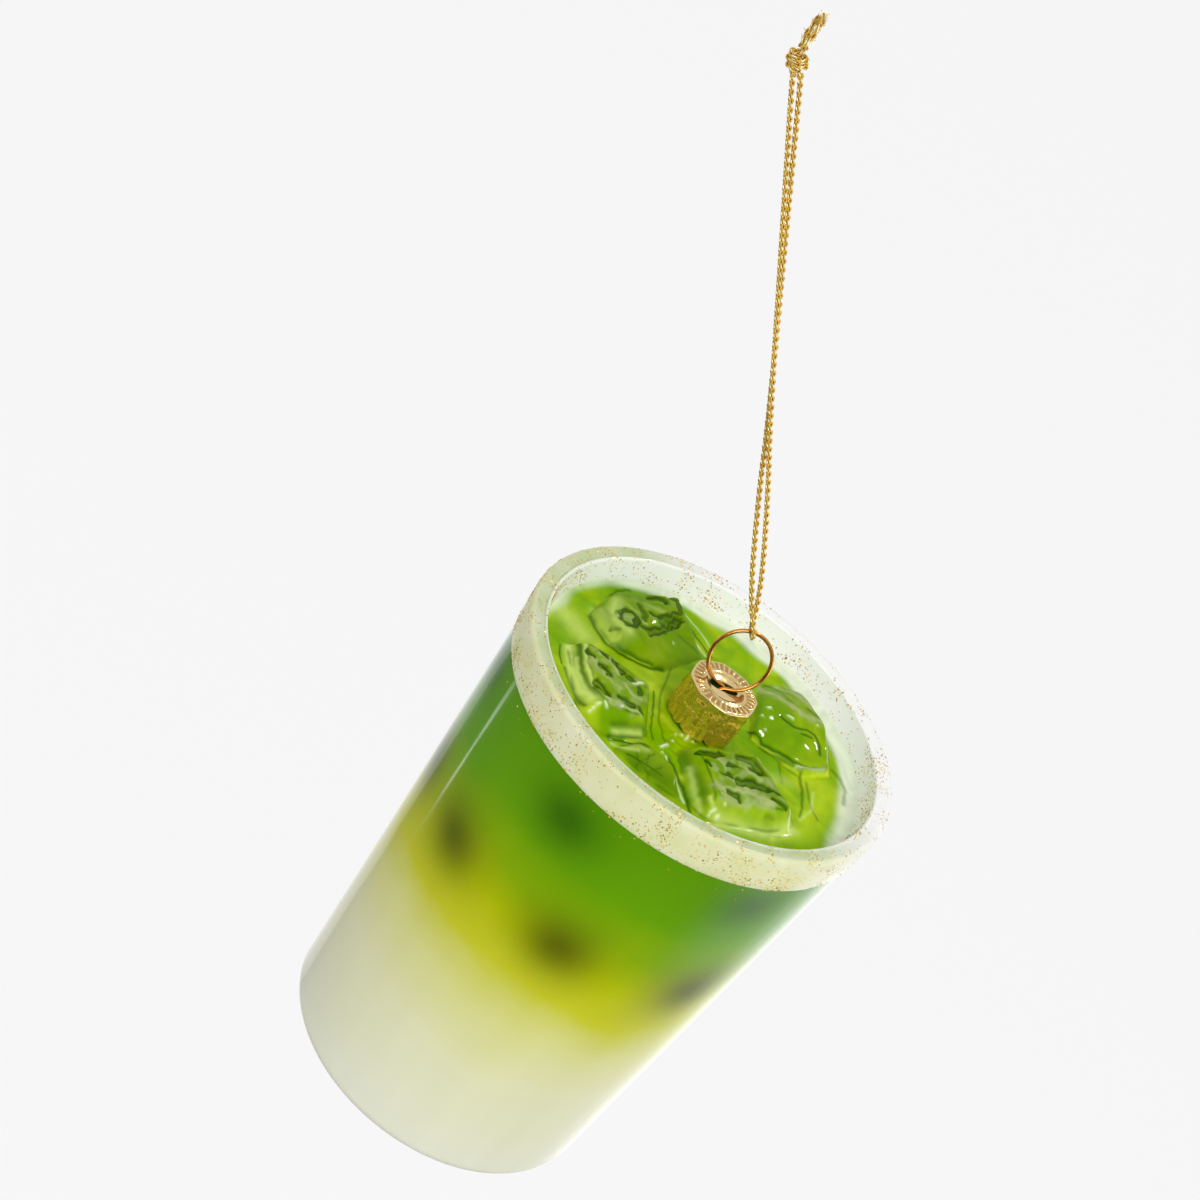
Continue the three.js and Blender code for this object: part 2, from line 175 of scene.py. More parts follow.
def coated(node: AddNode, colour: bpy.types.Node,
           coats: Iterable[tuple[str, str]]) -> bpy.types.Node:
    """Lay coats over a colour, each as far as one of the piece's masks says.

    Args:
        node: Adds a node to the material's tree.
        colour: The node that gives the colour underneath.
        coats: Each coat's mask and hex colour, the lowest first.

    Returns:
        The node that gives the colour on top.
    """
    for mask, code in coats:
        share = node("ShaderNodeAttribute", attribute_name=mask).outputs["Fac"]
        colour = node("ShaderNodeMix", {0: share, 6: colour, 7: srgb(code)}, data_type="RGBA")
    return colour


def smooth_step(low: float, high: float, value: np.ndarray) -> np.ndarray:
    """Rise smoothly from 0 to 1 as the value goes from low to high."""
    share = np.clip((value - low) / (high - low), 0, 1)
    return share * share * (3 - 2 * share)


def waves(x: np.ndarray, y: np.ndarray, size: float, seed: int, count: int = 9) -> np.ndarray:
    """Add up plane waves of random headings into a smooth random surface.

    Args:
        x: Positions across, in millimetres.
        y: Positions along, in millimetres.
        size: The middle wavelength in millimetres.
        seed: Fixes the headings and phases.
        count: How many waves.

    Returns:
        Heights, mostly between -1 and 1.
    """
    random = np.random.default_rng(seed)
    total = np.zeros_like(x)
    for _ in range(count):
        heading, phase = random.uniform(0, FULL_TURN, 2)
        length = size * random.uniform(0.7, 1.5)
        along = x * math.cos(heading) + y * math.sin(heading)
        total += np.sin(FULL_TURN * along / length + phase)
    return total / math.sqrt(count)


@dataclass(frozen=True)
class Roughness:
    """A smooth random surface of a height and a middle wavelength."""

    height: float
    size: float
    seed: int

    def at(self, x: np.ndarray, y: np.ndarray, number: int = 0) -> np.ndarray:
        """Return its heights at some positions, drawn afresh for each number."""
        return self.height * waves(x, y, self.size, self.seed + number)


def mesh_object(name: str, points: np.ndarray, faces: Iterable[Sequence[int]],
                material: bpy.types.Material, sharp: float = 180.0) -> bpy.types.Object:
    """Make an object from points in millimetres.

    Args:
        name: The piece's name.
        points: One row of x, y and z for each point.
        faces: The point numbers of each face, counter-clockwise from outside.
        material: The finish.
        sharp: Edges that turn by more degrees than this stay sharp.

    Returns:
        The object, linked to the scene.
    """
    mesh = bpy.data.meshes.new(name)
    mesh.from_pydata((np.asarray(points) * MM).tolist(), [], [tuple(face) for face in faces])
    mesh.materials.append(material)
    mesh.shade_smooth()
    if sharp < 180:
        mesh.set_sharp_from_angle(angle=math.radians(sharp))
    piece = bpy.data.objects.new(name, mesh)
    bpy.context.scene.collection.objects.link(piece)
    return piece


def add_mask(piece: bpy.types.Object, name: str, values: np.ndarray) -> None:
    """Give each point of a piece a number that its material reads."""
    layer = piece.data.attributes.new(name, "FLOAT", "POINT")
    layer.data.foreach_set("value", np.asarray(values, dtype=np.float32))


def seat(piece: bpy.types.Object, body: Body, slot: Slot, *nodes: str) -> bpy.types.Object:
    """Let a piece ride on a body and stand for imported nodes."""
    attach(piece, body.value)
    if nodes:
        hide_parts(*nodes)
    log.info("%s: %d faces on %s", piece.name, len(piece.data.polygons), body.value)
    return piece


def ring_faces(rows: int, columns: int, back: bool = False,
               shut: bool = False) -> list[tuple[int, ...]]:
    """List the quads between closed rings of points.

    Args:
        rows: How many rings.
        columns: How many points in a ring.
        back: Whether the faces look the other way.
        shut: Whether the last ring is joined to the first.

    Returns:
        Four point numbers for each face.
    """
    faces = []
    for row in range(rows if shut else rows - 1):
        this, following = row * columns, (row + 1) % rows * columns
        for column in range(columns):
            beside = (column + 1) % columns
            quad = (this + column, this + beside, following + beside, following + column)
            faces.append(quad[::-1] if back else quad)
    return faces


def arc(radius: float, height: float, size: float, start: float, end: float, steps: int) -> Profile:
    """Return points on an arc of a profile, both ends included; angles are in degrees."""
    angles = [math.radians(start + (end - start) * i / steps) for i in range(steps + 1)]
    return [(radius + size * math.cos(a), height + size * math.sin(a)) for a in angles]


def densify(profile: Profile, step: float) -> Profile:
    """Add points so that no stretch of a profile is longer than a step."""
    dense = []
    for (r0, z0), (r1, z1) in zip(profile, profile[1:]):
        count = max(1, math.ceil(math.dist((r0, z0), (r1, z1)) / step))
        dense += [(r0 + (r1 - r0) * i / count, z0 + (z1 - z0) * i / count) for i in range(count)]
    return dense + [profile[-1]]


def revolved(profile: Profile, facets: int) -> np.ndarray:
    """Return the rings of points that a profile makes round the glass's axis."""
    headings = FULL_TURN * np.arange(facets) / facets
    radii, heights = (np.array(values)[:, None] for values in zip(*profile))
    points = np.stack([radii * np.cos(headings), radii * np.sin(headings),
                       heights + 0 * headings], axis=-1)
    return points.reshape(-1, 3)


def turned(name: str, profile: Profile, facets: int, material: bpy.types.Material,
           sharp: float = 40.0) -> bpy.types.Object:
    """Turn a profile about the glass's axis into a closed piece.

    Args:
        name: The piece's name.
        profile: Radius and height from the outside's foot up and round to the inside. It starts
            and ends on the axis, or closes on itself.
        facets: Steps round the axis.
        material: The finish.
        sharp: Edges that turn by more degrees than this stay sharp.

    Returns:
        The object.
    """
    on_axis = profile[0][0] == 0
    rings = profile[1:-1] if on_axis else profile
    points = revolved(rings, facets)
    faces = ring_faces(len(rings), facets, shut=not on_axis)
    if on_axis:
        foot, top, last = len(points), len(points) + 1, len(points) - facets
        points = np.vstack([points, [[0, 0, profile[0][1]], [0, 0, profile[-1][1]]]])
        for this in range(facets):
            beside = (this + 1) % facets
            faces += [(foot, beside, this), (top, last + this, last + beside)]
    return mesh_object(name, points, faces, material, sharp)


def inside(x: np.ndarray, y: np.ndarray, outline: Sequence[Point]) -> np.ndarray:
    """Return how far points lie inside an outline, below zero outside it."""
    nearest = np.full_like(x, np.inf)
    within = np.zeros(x.shape, dtype=bool)
    for (ax, ay), (bx, by) in zip(outline, [*outline[1:], outline[0]]):
        ex, ey = bx - ax, by - ay
        share = np.clip(((x - ax) * ex + (y - ay) * ey) / (ex * ex + ey * ey), 0, 1)
        nearest = np.minimum(nearest, np.hypot(x - ax - share * ex, y - ay - share * ey))
        crosses = (ay > y) != (by > y)
        rise = ey if abs(ey) > 1e-9 else 1e-9
        within ^= crosses & (x < ax + (y - ay) * ex / rise)
    return np.where(within, nearest, -nearest)


def smooth_path(points: np.ndarray, step: float) -> np.ndarray:
    """Run a smooth curve through points by centripetal spans.

    Args:
        points: The stations, one row each.
        step: The longest distance between the points returned.

    Returns:
        Points along the curve, both ends included.
    """
    ends = [2 * points[0] - points[1], *points, 2 * points[-1] - points[-2]]
    path = []
    for p0, p1, p2, p3 in zip(ends, ends[1:], ends[2:], ends[3:]):
        k1 = np.linalg.norm(p1 - p0) ** 0.5
        k2 = k1 + np.linalg.norm(p2 - p1) ** 0.5
        k3 = k2 + np.linalg.norm(p3 - p2) ** 0.5
        count = max(1, math.ceil(np.linalg.norm(p2 - p1) / step))
        for i in range(count):
            t = k1 + (k2 - k1) * i / count
            a1 = (k1 - t) / k1 * p0 + t / k1 * p1
            a2 = (k2 - t) / (k2 - k1) * p1 + (t - k1) / (k2 - k1) * p2
            a3 = (k3 - t) / (k3 - k2) * p2 + (t - k2) / (k3 - k2) * p3
            b1 = (k2 - t) / k2 * a1 + t / k2 * a2
            b2 = (k3 - t) / (k3 - k1) * a2 + (t - k1) / (k3 - k1) * a3
            path.append((k2 - t) / (k2 - k1) * b1 + (t - k1) / (k2 - k1) * b2)
    return np.array([*path, points[-1]])


@dataclass(frozen=True)
class PaintedWallFinish(Finish):
    """Lacquer sprayed on blown glass: a mirror-smooth skin over soft bands of colour."""

    name: str = "sprayed_lacquer_on_glass"
    height: float = 83.8
    bands: tuple[tuple[float, str], ...] = (
        (0.0, "E0E1CE"), (22.0, "DCDDB4"), (33.0, "D4D48A"), (41.0, "C2C428"), (49.0, "AEB902"),
        (56.0, "82A601"), (64.0, "609801"), (77.0, "568F00"),
    )
    drift_size: float = 17.0  # the bands' edges wander over this distance
    drift: float = 5.0  # and this far up and down
    streak_size: float = 5.0
    ripple_size: float = 14.0  # broad waves of the blown wall
    line_size: float = 1.6  # fine lengthwise ripples, drawn out in the blowing
    line_depth: float = 0.25  # as a share of the broad waves
    depth: float = 0.25
    roughness: float = 0.07

    def surface(self, node: AddNode, coords: bpy.types.NodeSocket) -> bpy.types.Node:
        """Add the nodes, with the bands by height and the dyed spots by the masks."""
        height = node("ShaderNodeSeparateXYZ", {0: coords}).outputs["Z"]
        drift = node("ShaderNodeTexNoise", {
            "Vector": coords, "Scale": per_mm(self.drift_size), "Detail": 2.0, "Roughness": 0.45})
        shift = node("ShaderNodeMath", {0: drift, 1: 0.5}, operation="SUBTRACT")
        moved = node("ShaderNodeMath", {
            0: shift, 1: 2 * self.drift * MM, 2: height}, operation="MULTIPLY_ADD")
        share = node("ShaderNodeMapRange", {"Value": moved, "From Max": self.height * MM})
        ramp = node("ShaderNodeValToRGB", {
            "Fac": share}, stops=[(z / self.height, code) for z, code in self.bands])
        dyed = coated(node, ramp, (("dye_upper", "2A5A02"), ("dye_lower", "4A5203")))
        across = node("ShaderNodeVectorMath", {
            0: coords, 1: (1.0, 1.0, 0.03)}, operation="MULTIPLY")
        streak = node("ShaderNodeTexNoise", {
            "Vector": across, "Scale": per_mm(self.streak_size), "Detail": 1.0})
        shade = node("ShaderNodeMapRange", {
            "Value": streak, "From Min": 0.3, "From Max": 0.7, "To Min": 0.985, "To Max": 1.01})
        colour = node("ShaderNodeVectorMath", {0: dyed, 3: shade}, operation="SCALE")
        ripple = node("ShaderNodeTexNoise", {
            "Vector": coords, "Scale": per_mm(self.ripple_size), "Detail": 0.0})
        drawn = node("ShaderNodeTexNoise", {
            "Vector": across, "Scale": per_mm(self.line_size), "Detail": 1.0})
        height = node("ShaderNodeMath", {
            0: drawn, 1: self.line_depth, 2: ripple}, operation="MULTIPLY_ADD")
        bump = node("ShaderNodeBump", {
            "Strength": 0.35, "Distance": self.depth * MM, "Height": height})
        return node("ShaderNodeBsdfPrincipled", {
            "Base Color": colour, "Roughness": self.roughness, "IOR": 1.5,
            "Specular IOR Level": 0.12, "Sheen Weight": 0.18, "Sheen Roughness": 0.35,
            "Normal": bump})


@dataclass(frozen=True)
class FrostedRimFinish(Finish):
    """Thick clear glass frosted from the outside: milky cream without, white within; light through
    it is painted in.
    """

    name: str = "frosted_glass_rim"
    lip_radius: float = 31.5
    inner_radius: float = 28.6
    drink: float = 79.1
    painted_backlight: float = 0.95  # how far the rim's back right side is painted white, as painted light showing through the glass
    mist_size: float = 6.0
    grain_size: float = 0.5
    grain_depth: float = 0.04

    def surface(self, node: AddNode, coords: bpy.types.NodeSocket) -> bpy.types.Node:
        """Add the nodes, coloured by the distance from the axis and the height."""
        flat = node("ShaderNodeVectorMath", {0: coords, 1: (1.0, 1.0, 0.0)}, operation="MULTIPLY")
        radius = node("ShaderNodeVectorMath", {0: flat}, operation="LENGTH")
        height = node("ShaderNodeSeparateXYZ", {0: coords}).outputs["Z"]
        cloud = node("ShaderNodeTexNoise", {
            "Vector": coords, "Scale": per_mm(self.mist_size), "Detail": 3.0})
        across = node("ShaderNodeMapRange", {
            "Value": radius, "From Min": self.inner_radius * MM, "From Max": self.lip_radius * MM})
        # painted light: the inside is painted near white and the lip's top greener, partly the
        # frosting's own colour and partly light and green showing through the glass
        wall = node("ShaderNodeValToRGB", {"Fac": across}, stops=[
            (0.0, "FAFBF8"), (0.08, "EEF2E4"), (0.2, "B8C690"), (0.72, "C0CC98"), (0.9, "D6D8A2")])
        mist = node("ShaderNodeMapRange", {
            "Value": cloud, "From Min": 0.35, "From Max": 0.75, "To Max": 0.4})
        misted = node("ShaderNodeMix", {0: mist, 6: wall, 7: srgb("F1F2E8")}, data_type="RGBA")
        # painted reflection: just above the drink the inside of the rim is tinted green, as the
        # drink reflected in it
        shore = node("ShaderNodeMapRange", {
            "Value": height, "From Min": (self.drink + 1.1) * MM, "From Max": (self.drink + 0.1) *
            MM, "To Max": 0.6})
        within = node("ShaderNodeMath", {
            0: radius, 1: (self.inner_radius + 0.4) * MM}, operation="LESS_THAN")
        tint = node("ShaderNodeMath", {0: shore, 1: within}, operation="MULTIPLY")
        tinted = node("ShaderNodeMix", {0: tint, 6: misted, 7: srgb("CCDEB0")}, data_type="RGBA")
        # painted backlight: towards the back right the rim is painted near white, as light showing
        # through the glass
        side = node("ShaderNodeVectorMath", {0: flat, 1: (0.6, 0.8, 0.0)}, operation="DOT_PRODUCT")
        backlit = node("ShaderNodeMapRange", {
            "Value": side, "From Min": 0.0, "From Max": 18 * MM, "To Max": self.painted_backlight})
        colour = node("ShaderNodeMix", {0: backlit, 6: tinted, 7: srgb("FBFBFA")}, data_type="RGBA")
        grain = node("ShaderNodeTexNoise", {
            "Vector": coords, "Scale": per_mm(self.grain_size), "Detail": 2.0})
        bump = node("ShaderNodeBump", {
            "Strength": 0.2, "Distance": self.grain_depth * MM, "Height": grain})
        matte = node("ShaderNodeMapRange", {
            "Value": across, "From Min": 0.8, "From Max": 0.95, "To Min": 0.14, "To Max": 0.5})
        return node("ShaderNodeBsdfPrincipled", {
            "Base Color": colour, "Roughness": matte, "IOR": 1.5, "Specular IOR Level": 0.09,
            "Normal": bump})


@dataclass(frozen=True)
class IcedDrinkFinish(Finish):
    """Clear glass with green lacquer behind it: swirls under a skin; pits with painted shade,
    painted sheen, painted highlights on the edges.
    """

    name: str = "green_lacquer_behind_glass"
    swirl_size: float = 7.0
    bend_size: float = 12.0
    bend: float = 16.0  # how far the swirls are bent
    fleck_size: float = 2.4

    def surface(self, node: AddNode, coords: bpy.types.NodeSocket) -> bpy.types.Node:
        """Add the nodes from the masks that the drink's surface carries."""
        warp = node("ShaderNodeTexNoise", {
            "Vector": coords, "Scale": per_mm(self.bend_size), "Detail": 1.0})
        bent = node("ShaderNodeVectorMath", {
            0: warp.outputs["Color"], 1: (self.bend * MM, self.bend * MM, 0.0), 2: coords},
            operation="MULTIPLY_ADD")
        swirl = node("ShaderNodeTexNoise", {
            "Vector": bent, "Scale": per_mm(self.swirl_size), "Detail": 1.5, "Distortion": 0.4})
        base = node("ShaderNodeValToRGB", {
            "Fac": swirl}, stops=[(0.0, "669800"), (0.36, "76A800"), (0.5, "8AB400"), (0.6,
            "9CBE04"), (0.72, "B4CE2C"), (1.0, "C6DC5C")])
        # the sheen coat is a painted sheen, the pit coat painted shade in the hollows, the crest
        # coat painted highlights on edges and drops, and the pale coat partly light painted through
        # the flanks
        shaded = coated(node, base, (
            ("shore", "E9F1DA"), ("block", "688E00"), ("pale", "C8DE24"), ("streak_dark", "366600"),
            ("streak_pale", "D2E87A"), ("foot", "306200"), ("face", "6E9600"), ("sheen", "ACBA74"),
            ("pit", "1E4200"), ("crest", "E2F0B4")))
        fleck = node("ShaderNodeTexNoise", {
            "Vector": bent, "Scale": per_mm(self.fleck_size), "Detail": 1.0})
        light = node("ShaderNodeMapRange", {
            "Value": fleck, "From Min": 0.3, "From Max": 0.7, "To Min": 0.92, "To Max": 1.07})
        colour = node("ShaderNodeVectorMath", {0: shaded, 3: light}, operation="SCALE")
        return node("ShaderNodeBsdfPrincipled", {
            "Base Color": colour, "Roughness": 0.05, "IOR": 1.5, "Specular IOR Level": 0.028})


@dataclass(frozen=True)
class NeckFinish(Finish):
    """The same green lacquer behind the plain glass of the neck."""

    name: str = "green_lacquered_neck"
    dark: str = "4E8A02"
    light: str = "86B41C"
    cloud_size: float = 2.0

    def surface(self, node: AddNode, coords: bpy.types.NodeSocket) -> bpy.types.Node:
        """Add the nodes, cloudy like the drink."""
        cloud = node("ShaderNodeTexNoise", {"Vector": coords, "Scale": per_mm(self.cloud_size)})
        colour = node("ShaderNodeMix", {
            0: cloud, 6: srgb(self.dark), 7: srgb(self.light)}, data_type="RGBA")
        return node("ShaderNodeBsdfPrincipled", {
            "Base Color": colour, "Roughness": 0.1, "IOR": 1.5, "Specular IOR Level": 0.1})


@dataclass(frozen=True)
class MetalFinish(Finish):
    """A thin metal part with fine tool marks: its gloss breaks up along them, and its grooves carry
    painted shade.
    """

    light: str
    dark: str
    rich: str
    groove_shade_colour: str
    roughness: float
    mark_size: float
    mark_depth: float
    metallic: float = 1.0

    def surface(self, node: AddNode, coords: bpy.types.NodeSocket) -> bpy.types.Node:
        """Add the nodes, a metal whose colour and gloss vary over its marks."""
        marks = node("ShaderNodeTexNoise", {
            "Vector": coords, "Scale": per_mm(self.mark_size), "Detail": 3.0})
        colour = node("ShaderNodeMix", {
            0: marks, 6: srgb(self.dark), 7: srgb(self.light)}, data_type="RGBA")
        # painted shade: the groove mask darkens the grooves to the darkest colour
        colour = coated(node, colour, (("lacquer", self.rich), ("groove_shade", self.groove_shade_colour)))
        gloss = node("ShaderNodeMapRange", {
            "Value": marks, "From Min": 0.3, "From Max": 0.7, "To Min": self.roughness * 0.7,
            "To Max": self.roughness * 1.4})
        bump = node("ShaderNodeBump", {
            "Strength": 0.5, "Distance": self.mark_depth * MM, "Height": marks})
        return node("ShaderNodeBsdfPrincipled", {
            "Base Color": colour, "Metallic": self.metallic, "Roughness": gloss, "Normal": bump})


@dataclass(frozen=True)
class BraidFinish(Finish):
    """Metallised film yarn, braided: gold with painted glints on top of each strand, painted shade
    between them.
    """

    name: str = "metallic_yarn"
    glint_size: float = 0.35

    def surface(self, node: AddNode, coords: bpy.types.NodeSocket) -> bpy.types.Node:
        """Add the nodes from how proud each strand lies and which strand it is."""
        proud = node("ShaderNodeAttribute", attribute_name="proud").outputs["Fac"]
        tint = node("ShaderNodeAttribute", attribute_name="tint").outputs["Fac"]
        # painted glints: a fine noise lifts the gold towards its near-white stops
        spark = node("ShaderNodeTexNoise", {
            "Vector": coords, "Scale": per_mm(self.glint_size), "Detail": 1.0})
        mixed = node("ShaderNodeMath", {0: spark, 1: 0.5, 2: tint}, operation="MULTIPLY_ADD")
        gold = node("ShaderNodeValToRGB", {"Fac": mixed}, stops=[
            (0.1, "BE8410"), (0.4, "DEAC1E"), (0.7, "F4D23C"), (1.0, "FFF4B0")])
        # painted shade: where a strand lies under the others it is painted brown
        colour = node("ShaderNodeMix", {0: proud, 6: srgb("9E620A"), 7: gold}, data_type="RGBA")
        return node("ShaderNodeBsdfPrincipled", {
            "Base Color": colour, "Metallic": 0.3, "Roughness": 0.2})


@dataclass(frozen=True)
class GlitterFinish(Finish):
    """Cut film flakes: small flat mirrors, gold with some copper and dark ones."""

    name: str = "glitter_flakes"

    def surface(self, node: AddNode, coords: bpy.types.NodeSocket) -> bpy.types.Node:
        """Add the nodes from each flake's tint."""
        tint = node("ShaderNodeAttribute", attribute_name="tint").outputs["Fac"]
        colour = node("ShaderNodeValToRGB", {"Fac": tint}, stops=[
            (0.0, "86681A"), (0.2, "B8921C"), (0.55, "D2AC2E"), (0.85, "E6C650"), (1.0, "F8ECB4")])
        return node("ShaderNodeBsdfPrincipled", {
            "Base Color": colour, "Metallic": 0.15, "Roughness": 0.3})


@dataclass(frozen=True)
class Panel:
    """A lit panel that faces the ornament."""

    name: str
    aim: Corner  # the direction from the ornament to the panel
    distance: float
    size: Point
    radiance: float  # how bright it looks, where 1 is white
    fade: float | None = None  # the share of its size that fades out at each edge of a reflection

    def hang(self, target: Corner) -> None:
        """Hang the panel, which shows in reflections alone if its edges fade."""
        light = bpy.data.lights.new(self.name, "AREA")
        light.shape = "RECTANGLE"
        light.size, light.size_y = self.size[0] * MM, self.size[1] * MM
        light.energy = self.radiance * math.pi * light.size * light.size_y
        if self.fade is not None:
            self.soften(light, self.fade)
        lamp = bpy.data.objects.new(self.name, light)
        away = Vector(self.aim).normalized()
        place = Matrix.Translation(Vector(target) * MM + away * self.distance * MM)
        lamp.matrix_world = place @ away.to_track_quat("Z", "Y").to_matrix().to_4x4()
        lamp.visible_camera = False
        lamp.visible_diffuse = self.fade is None
        bpy.context.scene.collection.objects.link(lamp)

    @staticmethod
    def soften(light: bpy.types.AreaLight, share: float) -> None:
        """Let a light fade out smoothly over a share of its size at each edge."""
        light.use_nodes = True
        light.node_tree.nodes.clear()
        node = partial(add_node, light.node_tree)
        place = node("ShaderNodeNewGeometry").outputs["Parametric"]
        sides = node("ShaderNodeSeparateXYZ", {0: place})
        level = 1.0
        for side in (sides.outputs["X"], sides.outputs["Y"]):
            far = node("ShaderNodeMath", {0: 1.0, 1: side}, operation="SUBTRACT")
            edge = node("ShaderNodeMath", {0: far, 1: side}, operation="MINIMUM")
            fade = node("ShaderNodeMapRange", {
                "Value": edge, "From Max": share}, interpolation_type="SMOOTHSTEP")
            level = node("ShaderNodeMath", {0: fade, 1: level}, operation="MULTIPLY")
        glow = node("ShaderNodeEmission", {"Strength": level})
        node("ShaderNodeOutputLight", {"Surface": glow})


@dataclass
class Studio:
    """A pale floor, soft light and the camera at the photograph's viewing angle."""

    lens: float = 120.0
    sensor: float = 36.0
    place: Corner = (-22.57, -502.3, 399.11)  # of the camera
    elevation: float = 31.98  # degrees that the camera looks down
    roll: float = 37.24  # degrees that its right side is up
    floor_depth: float = 330.0  # far below the glass's base, so that its shadow is faint
    floor_size: float = 12000.0
    background: str = "F6F6F6"
    ambient: float = 0.72  # how bright the world lights the object, where 1 is white
    target: Corner = (0, 0, 60)  # what the panels face
    panels: tuple[Panel, ...] = (
        Panel("key", (0.28, -0.7, 0.6), 900, (520, 520), 4.2),
        Panel("spark", (0.18, 0.66, 0.72), 800, (60, 60), 480.0, 0.45),
        Panel("right_card", (0.62, 0.60, -0.56), 380, (640, 480), 1.4, 0.45),
        Panel("side_card", (0.97, -0.02, -0.25), 400, (420, 520), 5.0, 0.5),
        Panel("left_card", (-0.38, 0.75, -0.53), 400, (210, 460), 0.5, 0.04),
        Panel("left_strip", (-0.78, 0.28, -0.62), 400, (34, 60), 4.5, 0.45),
    )

    def camera(self) -> None:
        """Create the camera and make it the scene's."""
        data = bpy.data.cameras.new("camera")
        data.lens = self.lens
        data.sensor_width = self.sensor
        data.clip_start = 0.01
        camera = bpy.data.objects.new("camera", data)
        tilt, roll = math.radians(self.elevation), math.radians(self.roll)
        level = Vector((1, 0, 0))
        upright = Vector((0, math.sin(tilt), math.cos(tilt)))
        back = Vector((0, -math.cos(tilt), math.sin(tilt)))
        right = level * math.cos(roll) + upright * math.sin(roll)
        above = upright * math.cos(roll) - level * math.sin(roll)
        turn = Matrix((right, above, back)).transposed().to_4x4()
        camera.matrix_world = Matrix.Translation(Vector(self.place) * MM) @ turn
        bpy.context.scene.collection.objects.link(camera)
        bpy.context.scene.camera = camera

    def backdrop_share(self, node: AddNode) -> bpy.types.Node:
        """Return 1 for rays that see the background, and 0 for those that light the object."""
        rays = node("ShaderNodeLightPath")
        seen = node("ShaderNodeMath", {
            0: rays.outputs["Is Camera Ray"], 1: rays.outputs["Is Glossy Ray"]},
            operation="MAXIMUM")
        return node("ShaderNodeMath", {
            0: seen, 1: rays.outputs["Is Transmission Ray"]}, operation="MAXIMUM")

    def floor(self) -> None:
        """Lay a pale floor below the hanging ornament."""
        material, tree = new_material("pale_paper")
        node = partial(add_node, tree)
        seen = self.backdrop_share(node)
        paper = node("ShaderNodeBsdfDiffuse", {"Color": srgb(self.background)})
        glow = node("ShaderNodeEmission", {"Color": srgb("FCFCFC")})
        share = node("ShaderNodeMath", {0: seen, 1: 0.8}, operation="MULTIPLY")
        mixed = node("ShaderNodeMixShader", {0: share, 1: paper, 2: glow})
        node("ShaderNodeOutputMaterial", {"Surface": mixed})
        half = self.floor_size / 2
        points = np.array([(side * half, end * half, -self.floor_depth)
                           for side, end in ((-1, -1), (1, -1), (1, 1), (-1, 1))])
        floor = mesh_object("floor", points, [(0, 1, 2, 3)], material)
        floor.visible_glossy = False

    def world(self) -> None:
        """Light the object evenly from all round, before a white background."""
        world = bpy.data.worlds.new("studio")
        world.use_nodes = True
        world.node_tree.nodes.clear()
        node = partial(add_node, world.node_tree)
        rays = node("ShaderNodeLightPath")
        seen = self.backdrop_share(node)
        white = srgb(self.background)[0]
        level = node("ShaderNodeMapRange", {"Value": seen, "To Min": self.ambient, "To Max": white})
        heading = node("ShaderNodeTexCoord").outputs["Generated"]
        sides = node("ShaderNodeSeparateXYZ", {0: heading})
        above = node("ShaderNodeMapRange", {
            "Value": sides.outputs["Z"], "From Min": -0.45, "From Max": 0.1})
        begin = node("ShaderNodeMapRange", {"Value": above, "To Min": 0.55, "To Max": -0.8})
        end = node("ShaderNodeMath", {0: begin, 1: 0.35}, operation="ADD")
        room = node("ShaderNodeMapRange", {
            "Value": sides.outputs["Y"], "From Min": begin, "From Max": end, "To Min": 0.12,
            "To Max": 0.92})
        mixed = node("ShaderNodeMix", {
            0: rays.outputs["Is Glossy Ray"], 2: level, 3: room}, data_type="FLOAT")
        glow = node("ShaderNodeBackground", {"Strength": mixed, "Color": (1.0, 1.0, 1.0, 1.0)})
        node("ShaderNodeOutputWorld", {"Surface": glow})
        bpy.context.scene.world = world

    def build(self) -> None:
        """Build the whole studio."""
        self.floor()
        self.world()
        for panel in self.panels:
            panel.hang(self.target)
        bpy.context.scene.view_settings.view_transform = "Standard"


@dataclass(frozen=True)
class IceLump:
    """A lump of ice: its upper corners, the outline where it meets the drink, and its finish."""

    crest: tuple[Corner, ...]
    foot: tuple[Point, ...]
    pitted: tuple[Point, ...] = ()  # outline of the rough upper face
    pit_shade: float = 0.7
    pale_heading: float = -60.0  # where the flank looks that is painted paler, as light shining through it
    flank_light_share: float = 0.9
    shade: float = 0.5
    contact: float = 0.6  # how dark the drink is along the foot

    def planes(self, undercut: float) -> list[Corner]:
        """Return the upper faces as slope along x, slope along y and height at the origin."""
        shell = bmesh.new()
        corners = [*self.crest, *[(x, y, -undercut) for x, y in self.foot]]
        for corner in corners:
            shell.verts.new(corner)
        bmesh.ops.convex_hull(shell, input=shell.verts)
        middle = Vector(np.mean(corners, axis=0))
        found: list[Corner] = []
        for face in shell.faces:
            face.normal_update()
            outwards = face.normal.dot(face.calc_center_median() - middle) > 0
            away = face.normal if outwards else -face.normal
            if away.z < 0.02:
                continue
            slope_x, slope_y = -away.x / away.z, -away.y / away.z
            point = face.verts[0].co
            plane = (slope_x, slope_y, point.z - slope_x * point.x - slope_y * point.y)
            if all(math.dist(plane, other) > 0.01 for other in found):
                found.append(plane)
        shell.free()
        return found


